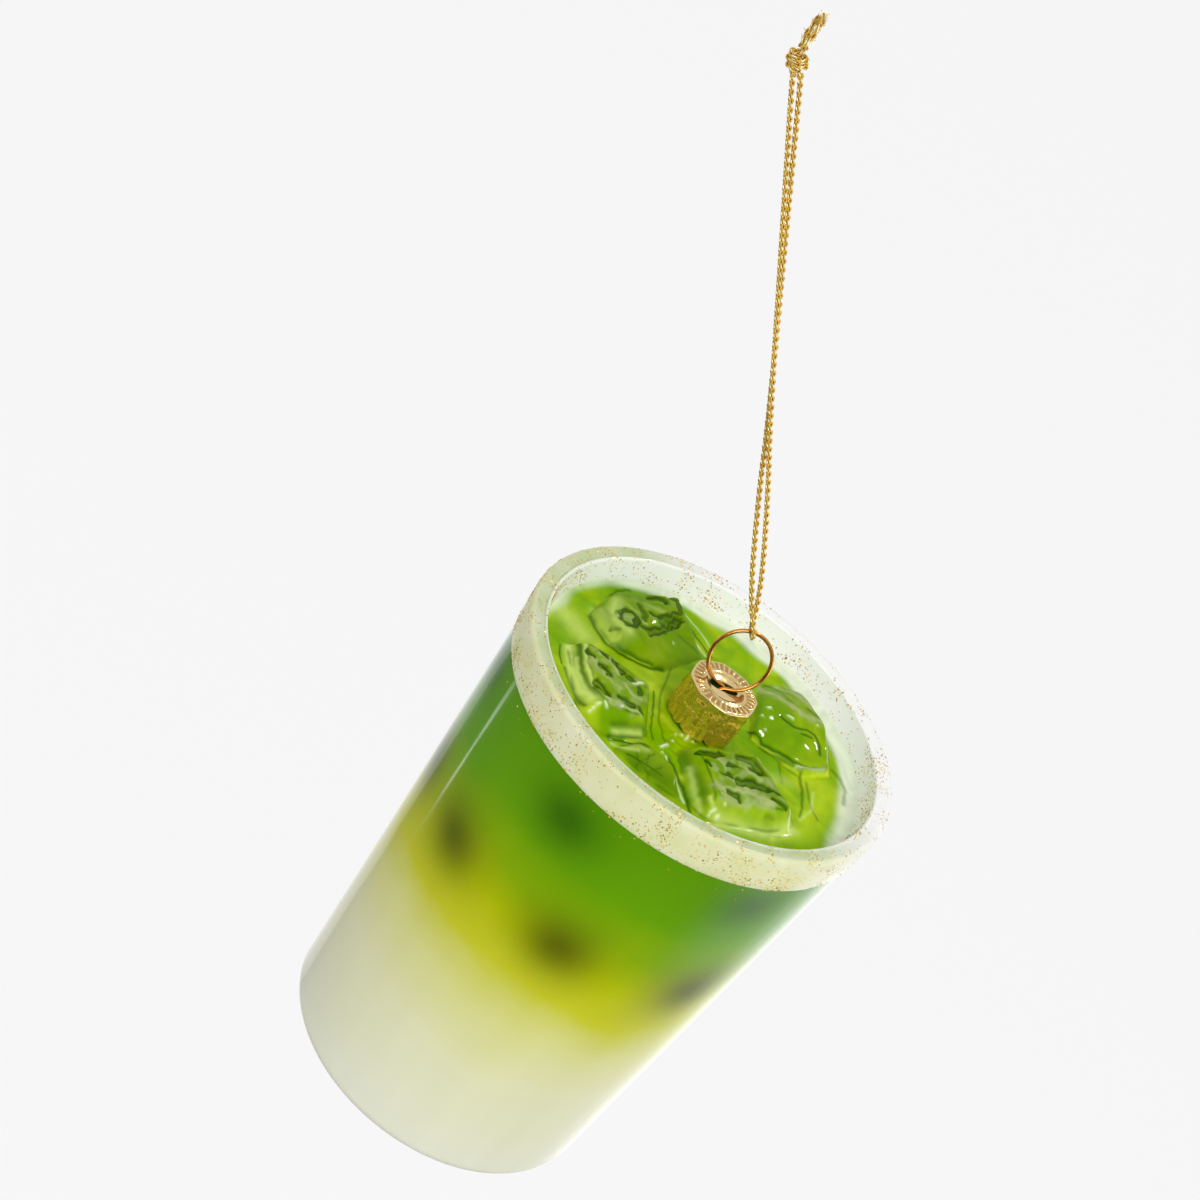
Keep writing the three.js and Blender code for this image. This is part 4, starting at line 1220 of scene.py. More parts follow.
@dataclass
class BlownGlass:
    """The blown glass body: its painted wall, frosted rim, drink and neck."""

    height: float = 83.8
    base_radius: float = 25.85
    lip_radius: float = 31.5
    base_corner: float = 2.8
    wall: float = 1.1
    rim_height: float = 7.0
    rim_proud: float = 0.3
    lip_width: float = 2.9
    drink_depth: float = 4.7
    recess_draft: float = 0.6
    recess_fillet: float = 0.8
    neck_height: float = 6.85
    neck_radius: float = 4.7  # 0.14 less than the solid's, so that the cap's crimps clear it
    neck_wall: float = 0.46  # and the bore is the solid's
    neck_fillet: float = 0.5
    facets: int = 256
    row: float = 1.4  # the tallest step of the painted wall's profile
    flake: float = 0.25  # across a flake's corners
    flake_density: float = 9.0  # flakes to a square millimetre in a clump
    stray_share: float = 0.04  # how many of them stray below the band
    host_facets: int = 180  # steps round the surface that the flakes lie on
    clump: float = 4.0  # width of the clumps
    spot_rows: tuple[SpotRow, ...] = (
        SpotRow("dye_upper", 6, -104, 60, 71, 1.5, 5.2, 0.85),
        SpotRow("dye_lower", 8, -130, 46.5, 51.5, 0.0, 5.9, 0.88),
    )

    @property
    def drink_level(self) -> float:
        """Height of the drink's surface."""
        return self.height - self.drink_depth

    @property
    def band_foot(self) -> float:
        """Height of the frosted band's lower edge."""
        return self.height - self.rim_height

    @property
    def recess(self) -> float:
        """Radius of the recess at the drink's surface."""
        return self.lip_radius - self.lip_width - self.recess_draft

    def wall_radius(self, z: float) -> float:
        """Return the outside radius of the tapered wall at a height."""
        taper = self.lip_radius - self.rim_proud - self.base_radius
        return self.base_radius + taper * z / self.height

    def painted_wall(self) -> bpy.types.Object:
        """Turn the painted wall and give it its dyed spots."""
        corner, inner = self.base_corner, self.base_corner - self.wall / 2
        side = self.wall_radius(corner)
        top = self.band_foot
        outside = [*arc(side - corner, corner, corner, -90, 0, 14), (self.wall_radius(top), top)]
        within = [(self.wall_radius(top) - self.wall, top),
                  *arc(side - self.wall - inner, self.wall + inner, inner, 0, -90, 8)]
        profile = [(0.0, 0.0), *densify(outside, self.row), *densify(within, 4 * self.row),
                   (0.0, self.wall)]
        piece = turned("painted_wall", profile, self.facets, PaintedWallFinish().build())
        places = np.empty(len(piece.data.vertices) * 3, dtype=np.float32)
        piece.data.vertices.foreach_get("co", places)
        x, y, z = places.reshape(-1, 3).T / MM
        heading = np.degrees(np.arctan2(y, x))
        for row in self.spot_rows:
            dye = np.zeros_like(x)
            for i in range(row.count):
                around = (heading - (row.first + row.apart * i) + 180) % 360 - 180
                across = np.radians(around) * np.hypot(x, y) / (1.1 * row.size)
                above = (z - (row.height + row.zigzag * (i % 2))) / row.size
                dye = np.maximum(dye, np.exp(-(across ** 2 + above ** 2) * 0.9))
            add_mask(piece, row.mask, dye * row.strength)
        return seat(piece, Body.GLASS, Slot.GLASS, "glass_body")

    def rim_profile(self) -> tuple[Profile, Profile]:
        """Return the rim's visible profile and the part that closes it under the drink."""
        foot, recess, top = self.band_foot, self.recess, self.height
        wall = self.wall_radius(foot)
        seen = [
            (wall - 0.02, foot - 0.12), (wall + 0.16, foot), (wall + self.rim_proud, foot + 0.35),
            *arc(self.lip_radius - 0.7, top - 0.7, 0.7, 0, 80, 8),
            (self.lip_radius - 1.7, top - 0.12), (self.lip_radius - 2.2, top - 0.2),
            *arc(self.lip_radius - self.lip_width + 0.45, top - 0.5, 0.45, 75, 180, 8),
            (recess - 0.06, self.drink_level + 0.6),
        ]
        return seen, [(recess - 0.06, foot + 0.2), (wall - self.wall + 0.1, foot - 0.12)]

    def frosted_rim(self) -> bpy.types.Object:
        """Turn the frosted rim, a ring that stands proud of the wall."""
        seen, hidden = self.rim_profile()
        profile = [*densify(seen, 1.0), *hidden]
        piece = turned("frosted_rim", profile, self.facets, FrostedRimFinish().build())
        return seat(piece, Body.GLASS, Slot.GLASS)

    def drink(self) -> bpy.types.Object:
        """Shape the drink and its ice."""
        surface = DrinkSurface(self.drink_level, self.neck_radius - 0.06, self.recess + 0.2,
                               self.recess_fillet, self.recess)
        return seat(surface.build(IcedDrinkFinish().build()), Body.GLASS, Slot.GLASS)

    def neck(self) -> bpy.types.Object:
        """Turn the neck that carries the cap."""
        lip, level, fillet = self.neck_wall / 2, self.drink_level, self.neck_fillet
        top, foot = level + self.neck_height, level - 0.4
        profile = [(self.neck_radius + fillet, foot), (self.neck_radius + fillet, level),
                   *arc(self.neck_radius + fillet, level + fillet, fillet, 270, 180, 6),
                   *arc(self.neck_radius - lip, top - lip, lip, 0, 180, 10),
                   (self.neck_radius - self.neck_wall, foot)]
        material = NeckFinish().build()
        return seat(turned("neck", profile, 96, material), Body.GLASS, Slot.GLASS)

    def glitter(self) -> bpy.types.Object:
        """Scatter flakes over the rim, thickest in clumps on the band."""
        seen, _ = self.rim_profile()
        below = [(self.wall_radius(z) + 0.02, z) for z in (73.0, 75.0, self.band_foot - 0.2)]
        profile = densify([*below, *seen], 0.8)
        finish = GlitterFinish().build()
        host = mesh_object("rim_glitter", revolved(profile, self.host_facets),
                           ring_faces(len(profile), self.host_facets), finish)
        cling = [self.stray_share if z < self.band_foot else 1.0 for _, z in profile]
        add_mask(host, "cling", np.repeat(cling, self.host_facets))
        piece = grow(host, glitter_tree(), {
            "Density": self.flake_density / MM ** 2, "Clump scale": per_mm(self.clump),
            "Flake radius": self.flake * MM / 2, "Flake thickness": 0.02 * MM, "Finish": finish})
        return seat(piece, Body.GLASS, Slot.GLASS)

    def build(self) -> None:
        """Build every piece of the glass."""
        self.painted_wall()
        self.frosted_rim()
        self.drink()
        self.neck()
        self.glitter()


def open_tree(name: str, inputs: dict[str, str]) -> tuple[
        bpy.types.NodeTree, AddNode, bpy.types.Node]:
    """Start a geometry tree with named inputs.

    Args:
        name: The tree's name.
        inputs: The socket type of each input after the geometry.

    Returns:
        The tree, what adds a node to it, and its input node.
    """
    tree = bpy.data.node_groups.new(name, "GeometryNodeTree")
    tree.interface.new_socket("Geometry", in_out="INPUT", socket_type="NodeSocketGeometry")
    tree.interface.new_socket("Geometry", in_out="OUTPUT", socket_type="NodeSocketGeometry")
    for title, kind in inputs.items():
        tree.interface.new_socket(title, in_out="INPUT", socket_type=kind)
    node = partial(add_node, tree)
    return tree, node, node("NodeGroupInput")


def grow(host: bpy.types.Object, tree: bpy.types.NodeTree,
         values: dict[str, Any]) -> bpy.types.Object:
    """Run a geometry tree on an object and keep the result as its plain mesh.

    Args:
        host: The object that the tree starts from. Its mesh is replaced.
        tree: The geometry tree.
        values: A value for each named input.

    Returns:
        The same object, with no modifier.
    """
    modifier = host.modifiers.new("grow", "NODES")
    modifier.node_group = tree
    for item in tree.interface.items_tree:
        if item.name in values and item.in_out == "INPUT":
            modifier[item.identifier] = values[item.name]
    evaluated = host.evaluated_get(bpy.context.evaluated_depsgraph_get())
    mesh = bpy.data.meshes.new_from_object(evaluated)
    host.modifiers.clear()
    host.data = mesh
    return host


def glitter_tree() -> bpy.types.NodeTree:
    """Build the tree that scatters six-sided flakes over a surface, in clumps."""
    tree, node, given = open_tree("scatter_flakes", {
        "Density": "NodeSocketFloat", "Clump scale": "NodeSocketFloat",
        "Flake radius": "NodeSocketFloat", "Flake thickness": "NodeSocketFloat",
        "Finish": "NodeSocketMaterial"})
    clumps = node("ShaderNodeTexNoise", {
        "Scale": given.outputs["Clump scale"], "Detail": 2.0, "Roughness": 0.6})
    thick = node("ShaderNodeMapRange", {
        "Value": clumps, "From Min": 0.48, "From Max": 0.72, "To Min": 0.035})
    cling = node("GeometryNodeInputNamedAttribute", {"Name": "cling"}, data_type="FLOAT")
    share = node("ShaderNodeMath", {0: thick, 1: cling}, operation="MULTIPLY")
    density = node("ShaderNodeMath", {0: share, 1: given.outputs["Density"]}, operation="MULTIPLY")
    spots = node("GeometryNodeDistributePointsOnFaces", {
        "Mesh": given.outputs["Geometry"], "Density": density, "Seed": 7})
    flake = node("GeometryNodeMeshCylinder", {
        "Vertices": 6, "Radius": given.outputs["Flake radius"],
        "Depth": given.outputs["Flake thickness"]})
    size = node("FunctionNodeRandomValue", {2: 0.55, 3: 1.5, "Seed": 3}, data_type="FLOAT")
    flakes = node("GeometryNodeInstanceOnPoints", {
        "Points": spots, "Instance": flake, "Rotation": spots.outputs["Rotation"], "Scale": size})
    tilt = node("FunctionNodeRandomValue", {
        0: (-0.5, -0.5, -3.0), 1: (0.5, 0.5, 3.0), "Seed": 5}, data_type="FLOAT_VECTOR")
    tilted = node("GeometryNodeRotateInstances", {"Instances": flakes, "Rotation": tilt})
    tint = node("FunctionNodeRandomValue", {"Seed": 9}, data_type="FLOAT")
    tinted = node("GeometryNodeStoreNamedAttribute", {
        "Geometry": tilted, "Name": "tint", "Value": tint}, data_type="FLOAT", domain="INSTANCE")
    real = node("GeometryNodeRealizeInstances", {"Geometry": tinted})
    dressed = node("GeometryNodeSetMaterial", {
        "Geometry": real, "Material": given.outputs["Finish"]})
    node("NodeGroupOutput", {0: dressed})
    return tree


def braid_tree() -> bpy.types.NodeTree:
    """Build the tree that winds strands both ways round a line, each over and under the others."""
    sizes = ("Pitch", "Braid radius", "Weave", "Strand radius", "Step", "Fray")
    tree, node, given = open_tree("braid_strands", {
        "Strands each way": "NodeSocketInt", **{name: "NodeSocketFloat" for name in sizes},
        "Finish": "NodeSocketMaterial"})
    line = node("GeometryNodeMeshToCurve", {"Mesh": given})
    even = node("GeometryNodeResampleCurve", {
        "Curve": line, "Length": given.outputs["Step"]}, mode="LENGTH")
    both = node("ShaderNodeMath", {
        0: given.outputs["Strands each way"], 1: 2.0}, operation="MULTIPLY")
    copies = node("GeometryNodeDuplicateElements", {
        "Geometry": even, "Amount": both}, domain="SPLINE")
    along = node("GeometryNodeSplineParameter")
    open_end = node("ShaderNodeMapRange", {
        "Value": along.outputs["Factor"], "From Min": 0.45}, interpolation_type="SMOOTHSTEP")
    known = {socket.name: socket for socket in given.outputs}
    known |= {"index": copies.outputs["Duplicate Index"], "length": along.outputs["Length"],
              "open end": open_end}
    for name, operation, *terms in (
            ("parity", "MODULO", "index", 2.0), ("way", "MULTIPLY_ADD", "parity", 2.0, -1.0),
            ("pair", "DIVIDE", "index", 2.0), ("number", "FLOOR", "pair"),
            ("turns", "DIVIDE", "length", "Pitch"),
            ("first", "DIVIDE", "number", "Strands each way"),
            ("wound", "MULTIPLY_ADD", "turns", "way", "first"),
            ("angle", "MULTIPLY", "wound", FULL_TURN),
            ("beats", "MULTIPLY", "turns", "Strands each way"),
            ("beat", "MULTIPLY", "beats", FULL_TURN), ("swing", "COSINE", "beat"),
            ("over", "MULTIPLY", "swing", "way"), ("bulge", "MULTIPLY_ADD", "swing", 0.28, 0.95),
            ("middle", "MULTIPLY", "bulge", "Braid radius"),
            ("radius", "MULTIPLY_ADD", "over", "Weave", "middle"),
            ("fray", "MULTIPLY", "open end", "Fray"), ("loose", "ADD", "fray", 1.0),
            ("reach", "MULTIPLY", "radius", "loose"), ("ahead", "COSINE", "angle"),
            ("aside", "SINE", "angle")):
        values = dict(enumerate(known.get(term, term) for term in terms))
        known[name] = node("ShaderNodeMath", values, operation=operation)
    normal = node("GeometryNodeInputNormal")
    side = node("ShaderNodeVectorMath", {
        0: node("GeometryNodeInputTangent"), 1: normal}, operation="CROSS_PRODUCT")
    one = node("ShaderNodeVectorMath", {0: normal, 3: known["ahead"]}, operation="SCALE")
    two = node("ShaderNodeVectorMath", {0: side, 3: known["aside"]}, operation="SCALE")
    heading = node("ShaderNodeVectorMath", {0: one, 1: two}, operation="ADD")
    offset = node("ShaderNodeVectorMath", {0: heading, 3: known["reach"]}, operation="SCALE")
    # how far over the others a strand lies; the material paints shade where it is low
    proud = node("ShaderNodeMapRange", {"Value": known["over"], "From Min": -1.0, "To Min": 0.1})
    chance = node("FunctionNodeRandomValue", {"ID": known["index"], "Seed": 4}, data_type="FLOAT")
    marked = copies
    for name, value in (("proud", proud), ("tint", chance)):
        marked = node("GeometryNodeStoreNamedAttribute", {
            "Geometry": marked, "Name": name, "Value": value}, data_type="FLOAT", domain="POINT")
    laid = node("GeometryNodeSetPosition", {"Geometry": marked, "Offset": offset})
    section = node("GeometryNodeCurvePrimitiveCircle", {
        "Resolution": 5, "Radius": given.outputs["Strand radius"]})
    strands = node("GeometryNodeCurveToMesh", {
        "Curve": laid, "Profile Curve": section, "Fill Caps": True})
    real = node("GeometryNodeRealizeInstances", {"Geometry": strands})
    smooth = node("GeometryNodeSetShadeSmooth", {"Geometry": real})
    dressed = node("GeometryNodeSetMaterial", {
        "Geometry": smooth, "Material": given.outputs["Finish"]})
    node("NodeGroupOutput", {0: dressed})
    return tree


@dataclass
class Hanging:
    """Where the cap, the ring and the cord sit on the neck."""

    crown_top: float = 86.5
    sheet: float = 0.25
    dish_depth: float = 0.3
    slot_length: float = 4.8
    slot_offset: float = 0.45
    slot_angle: float = 22.5
    wire: float = 0.62
    ring_radius: float = 4.8
    wire_clearance: float = 0.3
    ring_lean: float = 16.0
    bight_angle: float = 8.5
    cord_lean: float = 26.5

    @property
    def slot_level(self) -> float:
        """Height of the middle of the sheet at the slot."""
        return self.crown_top - self.dish_depth - self.sheet / 2

    @property
    def ring_rise(self) -> float:
        """Height of the ring's middle above the slot."""
        reach = self.ring_radius + self.wire / 2 + self.wire_clearance
        return self.sheet / 2 + math.sqrt(reach ** 2 - (self.slot_length / 2) ** 2)

    def cap(self) -> Matrix:
        """Return the frame of the cap."""
        return Matrix.Rotation(math.radians(self.slot_angle), 4, "Z")

    def ring(self) -> Matrix:
        """Return the frame of the ring, with its origin in the slot."""
        slot = Matrix.Translation((0, self.slot_offset, self.slot_level))
        return self.cap() @ slot @ Matrix.Rotation(-math.radians(self.ring_lean), 4, "X")

    def cord(self) -> Matrix:
        """Return the frame of the cord, with its origin in the ring's wire."""
        angle = math.radians(self.bight_angle)
        place = (-self.ring_radius * math.sin(angle), 0,
                 self.ring_rise + self.ring_radius * math.cos(angle))
        return self.ring() @ Matrix.Translation(place) @ Matrix.Rotation(
            -math.radians(self.cord_lean), 4, "Y")


def placed(points: np.ndarray, where: Matrix) -> np.ndarray:
    """Move points out of a frame into the model's."""
    turn = np.array(where)
    return points @ turn[:3, :3].T + turn[:3, 3]


@dataclass
class StampedCap:
    """The cap pressed from thin sheet: an eight-sided crown, a dished slot and a crimped skirt."""

    radius: float = 5.8
    sides: int = 8
    faceting: float = 0.6
    skirt_length: float = 6.3
    hem_scallop: float = 0.95  # this, the flutes and the ridges are fuller than the solid's
    flute_depth: float = 0.32
    crimp_detail: float = 0.4
    ridge_count: int = 32
    ridge_height: float = 0.2
    bead_radius: float = 3.3
    bead_height: float = 0.17  # lower than the solid's, so that the tilted wire clears it
    bead_reach: float = 0.4  # from the bead's middle to its outer foot
    slot_width: float = 2.2
    slot_fullness: float = 2.6
    dish_step: float = 0.45
    dish_lip: float = 0.1
    shoulder: float = 0.3  # height of the rounded edge between crown and skirt
    skirt_rings: int = 45
    emboss: float = 0.12  # height of the skirt's random dents
    embossing: tuple[Roughness, Roughness] = (Roughness(0.8, 2.6, 70), Roughness(0.45, 1.0, 71))
    spokes: int = 384
    hanging: Hanging = field(default_factory=Hanging)

    def crown_shape(self, heading: np.ndarray) -> np.ndarray:
        """Return 1 at the crown's corners and less across its flats."""
        side = FULL_TURN / self.sides
        off = heading % side - side / 2
        return 1 - self.faceting * (1 - math.cos(side / 2) / np.cos(off))

    def slot_outline(self, heading: np.ndarray) -> np.ndarray:
        """Return the slot's outline, shifted across the crown."""
        along = np.abs(np.cos(heading)) / (self.hanging.slot_length / 2)
        across = np.abs(np.sin(heading)) / (self.slot_width / 2)
        power = self.slot_fullness
        reach = (along ** power + across ** power) ** (-1 / power)
        return np.stack([reach * np.cos(heading),
                         reach * np.sin(heading) + self.hanging.slot_offset], axis=-1)

    def skirt_radius(self, heading: np.ndarray, share: float) -> np.ndarray:
        """Return the skirt's outside radius, crimped more the lower it is."""
        detail = np.cos(3 * self.sides * heading + 0.9)
        crimp = np.cos(self.sides * heading) + self.crimp_detail * detail
        side = FULL_TURN / self.sides
        fold = (heading + side / 2) % side - side / 2
        crease = 1.9 * np.exp(-(fold / 0.045) ** 2)
        return self.radius * self.crown_shape(heading) + self.flute_depth * share * (crimp - crease)

    def ring(self, flat: np.ndarray, height: np.ndarray | float) -> np.ndarray:
        """Lift a ring of points to a height over the crown."""
        heights = np.broadcast_to(self.hanging.crown_top + height, len(flat))
        return np.column_stack([flat, heights])

    def crown_rings(self, unit: np.ndarray, slot: np.ndarray, edge: np.ndarray,
                    ridge: np.ndarray) -> list[np.ndarray]:
        """Return the rings from the slot over the dish, the bead and the ridges to the shoulder.

        Args:
            unit: The directions of the points of a ring.
            slot: The slot's outline.
            edge: The crown's radius in each direction.
            ridge: How high the ridges stand in each direction.

        Returns:
            The rings: six of the dish, seven of the bead, seven of the ridges and four more.
        """
        dish, lip = self.bead_radius - self.dish_step, self.dish_lip
        rings = []
        for share in (0.0, 0.12, 0.3, 0.55, 0.8, 1.0):
            flat = slot * (1 - share) + unit * dish * share
            depth = -self.hanging.dish_depth + (self.hanging.dish_depth - lip) * share ** 1.5
            rings.append(self.ring(flat, depth))
        for step in range(1, 8):
            radius = dish + (self.dish_step + self.bead_reach) * step / 8
            swell = self.bead_height * math.sin(math.pi * step / 8)
            rings.append(self.ring(unit * radius, -lip * (1 - step / 8) + swell))
        start = self.bead_radius + 0.55
        for share in (0.0, 0.08, 0.2, 0.5, 0.8, 0.92, 1.0):
            swell = math.sin(math.pi * share) ** 0.35 if 0 < share < 1 else 0
            radius = start + (edge - 0.32 - start) * share
            rings.append(self.ring(unit * radius[:, None], self.ridge_height * ridge * swell))
        for inward, drop in ((0.2, 0.015), (0.1, 0.07), (0.03, 0.17), (0.0, self.shoulder)):
            rings.append(self.ring(unit * (edge - inward)[:, None], -drop))
        return rings

    def skirt_ring(self, heading: np.ndarray, unit: np.ndarray, share: float,
                   hem: np.ndarray) -> np.ndarray:
        """Return the skirt's ring at a share of its length, with its random emboss."""
        height = -self.shoulder + share * (hem + self.shoulder)
        around = heading * self.radius
        relief = sum(rough.at(around, height) for rough in self.embossing)
        fade = math.sin(math.pi * min(share, 0.96)) ** 0.5
        radius = self.skirt_radius(heading, share) + self.emboss * relief * fade
        return self.ring(unit * radius[:, None], height)

    def build(self) -> bpy.types.Object:
        """Loft the sheet from the slot out to the hem, and back on the inside."""
        heading = FULL_TURN * np.arange(self.spokes) / self.spokes
        unit = np.stack([np.cos(heading), np.sin(heading)], axis=-1)
        sheet, slot = self.hanging.sheet, self.slot_outline(heading)
        edge = self.radius * self.crown_shape(heading)
        ridge = np.maximum(0, np.cos(self.ridge_count * heading)) ** 1.5
        crown = self.crown_rings(unit, slot, edge, ridge)
        hem = -self.skirt_length - self.hem_scallop * np.abs(np.sin(self.sides / 2 * heading))
        shares = np.linspace(0, 1, self.skirt_rings + 1)[1:]
        skirt = [self.skirt_ring(heading, unit, share, hem) for share in shares]
        within = [self.ring(unit * (radius - sheet)[:, None], height) for radius, height in (
            (self.skirt_radius(heading, 1.0), hem), (self.skirt_radius(heading, 0.4), hem * 0.4),
            (edge, -self.shoulder - sheet), (edge - sheet, -sheet))]
        within += [self.ring(unit * (self.bead_radius - self.dish_step), -self.dish_lip - sheet),
                   self.ring(slot, -self.hanging.dish_depth - sheet)]
        rings = [*crown, *skirt, *within]
        # painted shade in the valleys between the crown's ridges and round the bead's foot
        groove_shade = np.zeros((len(rings), self.spokes))
        first_ridge = 6 + 7  # the rings of the dish and the bead come before it
        groove_shade[first_ridge + 1:first_ridge + 6] = (1 - ridge) ** 2 * 0.85
        groove_shade[first_ridge - 1:first_ridge + 1] = 0.35
        points = placed(np.vstack(rings), self.hanging.cap())
        faces = ring_faces(len(rings), self.spokes, back=True, shut=True)
        finish = MetalFinish("gold_lacquered_tinplate", "E4CE96", "CAAD6A", "F2CA34", "A47C38", 0.1,
                             0.9, 0.03, metallic=0.86).build()
        piece = mesh_object("pressed_cap", points, faces, finish, 50.0)
        add_mask(piece, "groove_shade", groove_shade.ravel())
        lacquer = np.zeros((len(rings), self.spokes))
        lacquer[len(crown):len(crown) + len(skirt)] = 0.8
        add_mask(piece, "lacquer", lacquer.ravel())
        return seat(piece, Body.CAP, Slot.CAP, "stamped_cap")


@dataclass
class SprungHanger:
    """One piece of spring wire: a ring above the slot and two crossed legs below it."""

    spread: float = 1.25
    flare: float = 6.4
    reach: float = 11.0
    neck_depth: float = 8.075
    crossing_gap: float = 0.18
    ring_open: float = 14.0
    ring_points: int = 24
    blend: int = 4
    sides: int = 20
    step: float = 0.25
    hanging: Hanging = field(default_factory=Hanging)

    def path(self) -> np.ndarray:
        """Return the wire's centre line, foot to foot, in the ring's frame."""
        wire, rise, radius = self.hanging.wire, self.hanging.ring_rise, self.hanging.ring_radius
        offset = (wire + self.crossing_gap) / 2
        crossing = rise - radius - self.crossing_gap
        leg = [(self.flare, -self.neck_depth - self.reach),
               (self.flare * 0.66, -self.neck_depth - self.reach * 0.62),
               (self.spread * 1.4, -self.neck_depth - self.reach * 0.22),
               (self.spread, -self.neck_depth * 0.8), (self.spread, -self.neck_depth * 0.45),
               (self.spread * 0.96, crossing - 3 * wire),
               (self.spread * 0.72, crossing - 1.3 * wire), (0.0, crossing)]
        open_angle = math.radians(self.ring_open)
        ring = []
        for i in range(self.ring_points + 1):
            angle = open_angle + (FULL_TURN - 2 * open_angle) * i / self.ring_points
            share = min(1, min(i, self.ring_points - i) / self.blend)
            side = -1 if i < self.ring_points / 2 else 1
            ring.append((radius * math.sin(angle), side * offset * (1 - share),
                         rise - radius * math.cos(angle)))
        down = [(-x, -offset, z) for x, z in leg]
        up = [(x, offset, z) for x, z in reversed(leg)]
        return np.array([*down, *ring, *up])

    def build(self) -> bpy.types.Object:
        """Sweep the wire along its path."""
        line = smooth_path(self.path(), self.step)
        finish = MetalFinish("copper_plated_spring_wire", "D69C4A", "AA6E2C", "D69C4A", "5A3510",
                             0.16, 0.6, 0.01).build()
        points, faces = swept(line, self.hanging.wire / 2, self.sides)
        piece = mesh_object("spring_wire", placed(points, self.hanging.ring()), faces, finish, 50.0)
        return seat(piece, Body.HANGER, Slot.WIRE, "hanger_wire")


def swept(line: np.ndarray, radius: float, sides: int) -> tuple[np.ndarray, list[tuple[int, ...]]]:
    """Sweep a round section along a line, with its ends closed.

    Args:
        line: Points of the centre line.
        radius: The section's radius.
        sides: How many sides the section has.

    Returns:
        The points and the faces.
    """
    ahead = np.gradient(line, axis=0)
    ahead /= np.linalg.norm(ahead, axis=1)[:, None]
    normal = np.cross(ahead[0], (0.31, 0.87, 0.38))
    angles = FULL_TURN * np.arange(sides) / sides
    rings = []
    for point, along in zip(line, ahead):
        normal = normal - along * np.dot(normal, along)
        normal /= np.linalg.norm(normal)
        side = np.cross(along, normal)
        section = np.outer(np.cos(angles), normal) + np.outer(np.sin(angles), side)
        rings.append(point + radius * section)
    faces = ring_faces(len(line), sides)
    faces.append(tuple(range(sides))[::-1])
    faces.append(tuple((len(line) - 1) * sides + k for k in range(sides)))
    return np.vstack(rings), faces


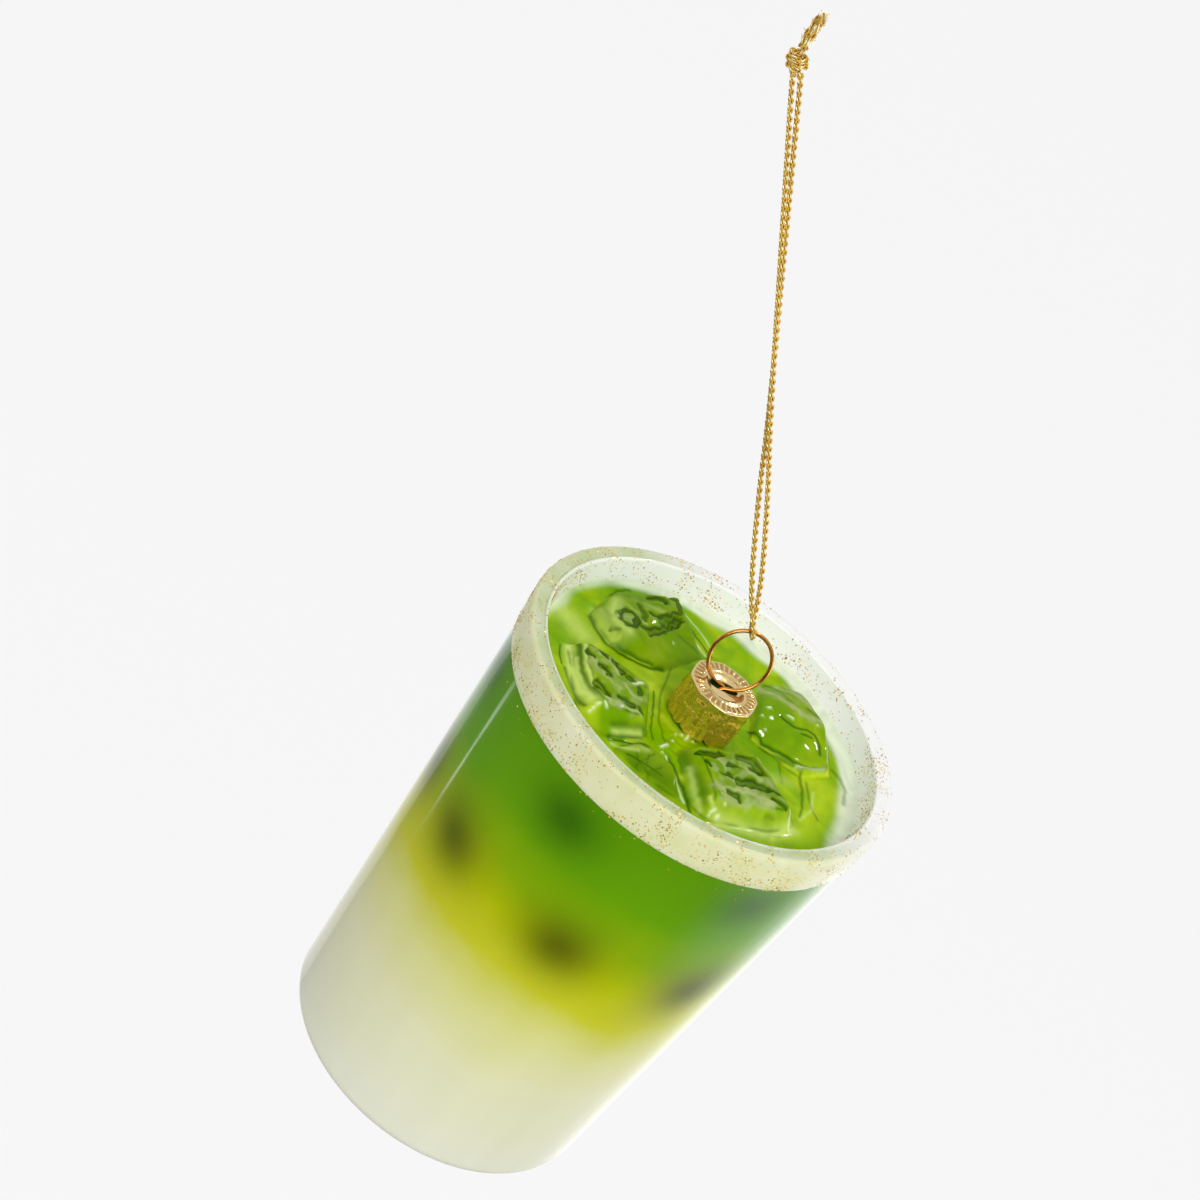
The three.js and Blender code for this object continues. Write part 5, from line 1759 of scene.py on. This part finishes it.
@dataclass
class BraidedCord:
    """One length of metallic braid: through the ring, knotted, with two short frayed tails."""

    diameter: float = 0.75
    bight_radius: float = 0.84
    knot_distance: float = 87.1
    knot_turn: float = 1.12
    knot_strand: float = 0.62
    end_gap: float = 0.3
    long_tail: float = 5.7
    short_tail: float = 5.0
    tail_spread: float = 0.62
    tail_sway: float = 0.35
    tail_lean: Point = (32.0, 9.0)
    tail_shift: float = -0.6
    pitch: float = 3.9
    tail_pitch: float = 1.7  # the tails' pitch as a share of the cord's own
    strand: float = 0.145
    weave: float = 0.07  # how far a strand goes over and under the others
    step: float = 0.12
    strands_each_way: int = 3
    knot_apart: float = 0.4  # from the knot's middle line to each of its two strands
    film: float = 0.065
    film_ends: int = 24  # on each tail
    stations: tuple[Corner, ...] = (
        (0.6, 0.84, 0), (2.4, 0.78, 22), (5, 0.7, 52), (9, 0.72, 84), (15, 0.72, 100),
        (23, 0.66, 132), (32, 0.62, 172), (42, 0.62, 192), (53, 0.62, 206), (64, 0.62, 222),
        (74, 0.6, 240), (81, 0.6, 258), (85.22, 0.6, 270),
    )
    turns: tuple[tuple[Corner, Corner], ...] = (
        ((0, 0, -2.3), (1, 0, 0)), ((-0.15, -0.2, -1.6), (1, -0.3, 0)),
        ((-0.75, -0.85, -0.75), (0.5, -0.2, 0.8)), ((-1.25, 0.1, 0.1), (0, 0, 1)),
        ((-0.45, 1.1, 0.5), (0, 0.2, 1)), ((0.95, 0.85, 0.1), (0, 0, 1)),
        ((1.25, -0.45, -0.35), (0, 0, 1)), ((0.2, -1.3, -0.1), (0.1, -0.2, 1)),
        ((-0.95, -0.75, 0.5), (-0.3, 0, 1)), ((-0.6, 0.35, 1.0), (0, 0.6, 0.6)),
        ((0.35, 0.3, 1.1), (0, 1, 0.1)), ((1.15, 0.3, 1.85), (0, -0.99, 0.15)),
    )
    hanging: Hanging = field(default_factory=Hanging)
    tree: bpy.types.NodeTree = field(default_factory=braid_tree)
    finish: bpy.types.Material = field(default_factory=lambda: BraidFinish().build())

    def loop_line(self) -> np.ndarray:
        """Return the loop's stations from the knot down, round the ring's wire and back."""
        def half(side: int) -> list[Corner]:
            return [(side * away * math.sin(math.radians(turn)),
                     side * away * math.cos(math.radians(turn)), z)
                    for z, away, turn in self.stations]
        bight = [(0, self.bight_radius * math.cos(a), -self.bight_radius * math.sin(a))
                 for a in np.radians((0, 45, 90, 135, 180))]
        return np.array([*half(1)[::-1], *bight, *half(-1)])

    def tail_line(self, side: int, length: float) -> np.ndarray:
        """Return one tail's stations, from just above the knot."""
        lean_x, lean_y = (math.tan(math.radians(a)) for a in self.tail_lean)
        along = Vector((lean_x, lean_y, 1)).normalized()
        across = Vector((1, 0, 0)).cross(along).normalized()
        points = []
        for share in (0, 0.3, 0.65, 1):
            sway = self.tail_sway * math.sin(math.pi * share) * side
            bow = Vector((sway + self.tail_shift, 0, self.knot_distance))
            out = self.knot_turn + self.knot_strand + self.end_gap + share * length
            points.append(bow + across * side * self.tail_spread + along * out)
        return np.array(points)

    def knot_line(self, side: int) -> np.ndarray:
        """Return one of the two strands that are knotted together."""
        points = []
        for place, spread in self.turns:
            apart = Vector(spread).normalized() * self.knot_apart * side
            points.append(Vector(place) + apart + Vector((0, 0, self.knot_distance)))
        return np.array(points)

    def braid(self, name: str, lines: list[np.ndarray], fray: float = 0.0,
              pitch: float = 1.0) -> bpy.types.Object:
        """Braid strands along some lines.

        Args:
            name: The piece's name.
            lines: The lines' points, in the model's frame.
            fray: How far the strands open towards the end.
            pitch: The braid's pitch as a share of the cord's own.

        Returns:
            The braided piece.
        """
        mesh = bpy.data.meshes.new(name)
        points, edges = [], []
        for line in lines:
            first = len(points)
            points += (line * MM).tolist()
            edges += [(first + i, first + i + 1) for i in range(len(line) - 1)]
        mesh.from_pydata(points, edges, [])
        host = bpy.data.objects.new(name, mesh)
        bpy.context.scene.collection.objects.link(host)
        middle = self.diameter / 2 - self.strand
        return grow(host, self.tree, {
            "Strands each way": self.strands_each_way, "Pitch": self.pitch * pitch * MM,
            "Braid radius": middle * MM, "Weave": self.weave * MM,
            "Strand radius": self.strand * MM, "Step": self.step * MM, "Fray": fray,
            "Finish": self.finish})

    def loose_film(self, where: Matrix) -> bpy.types.Object:
        """Let cut ends of film stand out along the tails."""
        random = np.random.default_rng(21)
        points, faces = [], []
        for side, length in ((1, self.long_tail), (-1, self.short_tail)):
            line = smooth_path(self.tail_line(side, length), 0.1)
            for share in np.linspace(0.15, 0.98, self.film_ends):
                at = int(share * (len(line) - 2))
                along = line[at + 1] - line[at]
                along /= np.linalg.norm(along)
                away = np.cross(along, random.normal(size=3))
                away *= self.diameter / 2 / np.linalg.norm(away)
                reach = random.uniform(0.5, 1.1)
                tip = line[at] + away * random.uniform(1.2, 2.2) + along * reach
                middle = line[at] + away * 1.1 + along * reach * 0.6
                hair, sides = swept(np.array([line[at] + away * 0.5, middle, tip]), self.film, 4)
                faces += [tuple(len(points) + k for k in face) for face in sides]
                points += hair.tolist()
        piece = mesh_object("loose_film", placed(np.array(points), where), faces, self.finish)
        add_mask(piece, "proud", np.full(len(points), 0.8))
        add_mask(piece, "tint", np.tile([0.2, 0.9, 0.5, 0.7], len(points) // 4))
        return piece

    def build(self) -> None:
        where = self.hanging.cord()
        route = placed(smooth_path(self.loop_line(), 0.4), where)
        loop = seat(self.braid("braided_loop", [route]), Body.CORD, Slot.CORD, "cord_loop")
        strands = [placed(smooth_path(self.knot_line(side), 0.15), where) for side in (1, -1)]
        knot = seat(self.braid("drawn_knot", strands), Body.CORD, Slot.CORD, "cord_knot")
        for side, kind, length in ((1, "long", self.long_tail), (-1, "short", self.short_tail)):
            line = placed(smooth_path(self.tail_line(side, length), 0.3), where)
            tail = self.braid(f"frayed_tail_{kind}", [line], 0.4, self.tail_pitch)
            seat(tail, Body.CORD, Slot.CORD, f"cord_tail_{kind}")
        seat(self.loose_film(where), Body.CORD, Slot.CORD)
        path = [tuple(point) for point in route * MM]
        length = sum(math.dist(a, b) for a, b in zip(path, path[1:]))


def main() -> None:
    """Build the studio and every piece of the ornament in order."""
    logging.basicConfig(level=logging.INFO, format="%(name)s %(message)s")
    studio = Studio()
    studio.camera()
    BraidedCord().build()
    studio.build()
    BlownGlass().build()
    StampedCap().build()
    SprungHanger().build()


if __name__ == "__main__":
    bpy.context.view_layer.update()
    main()
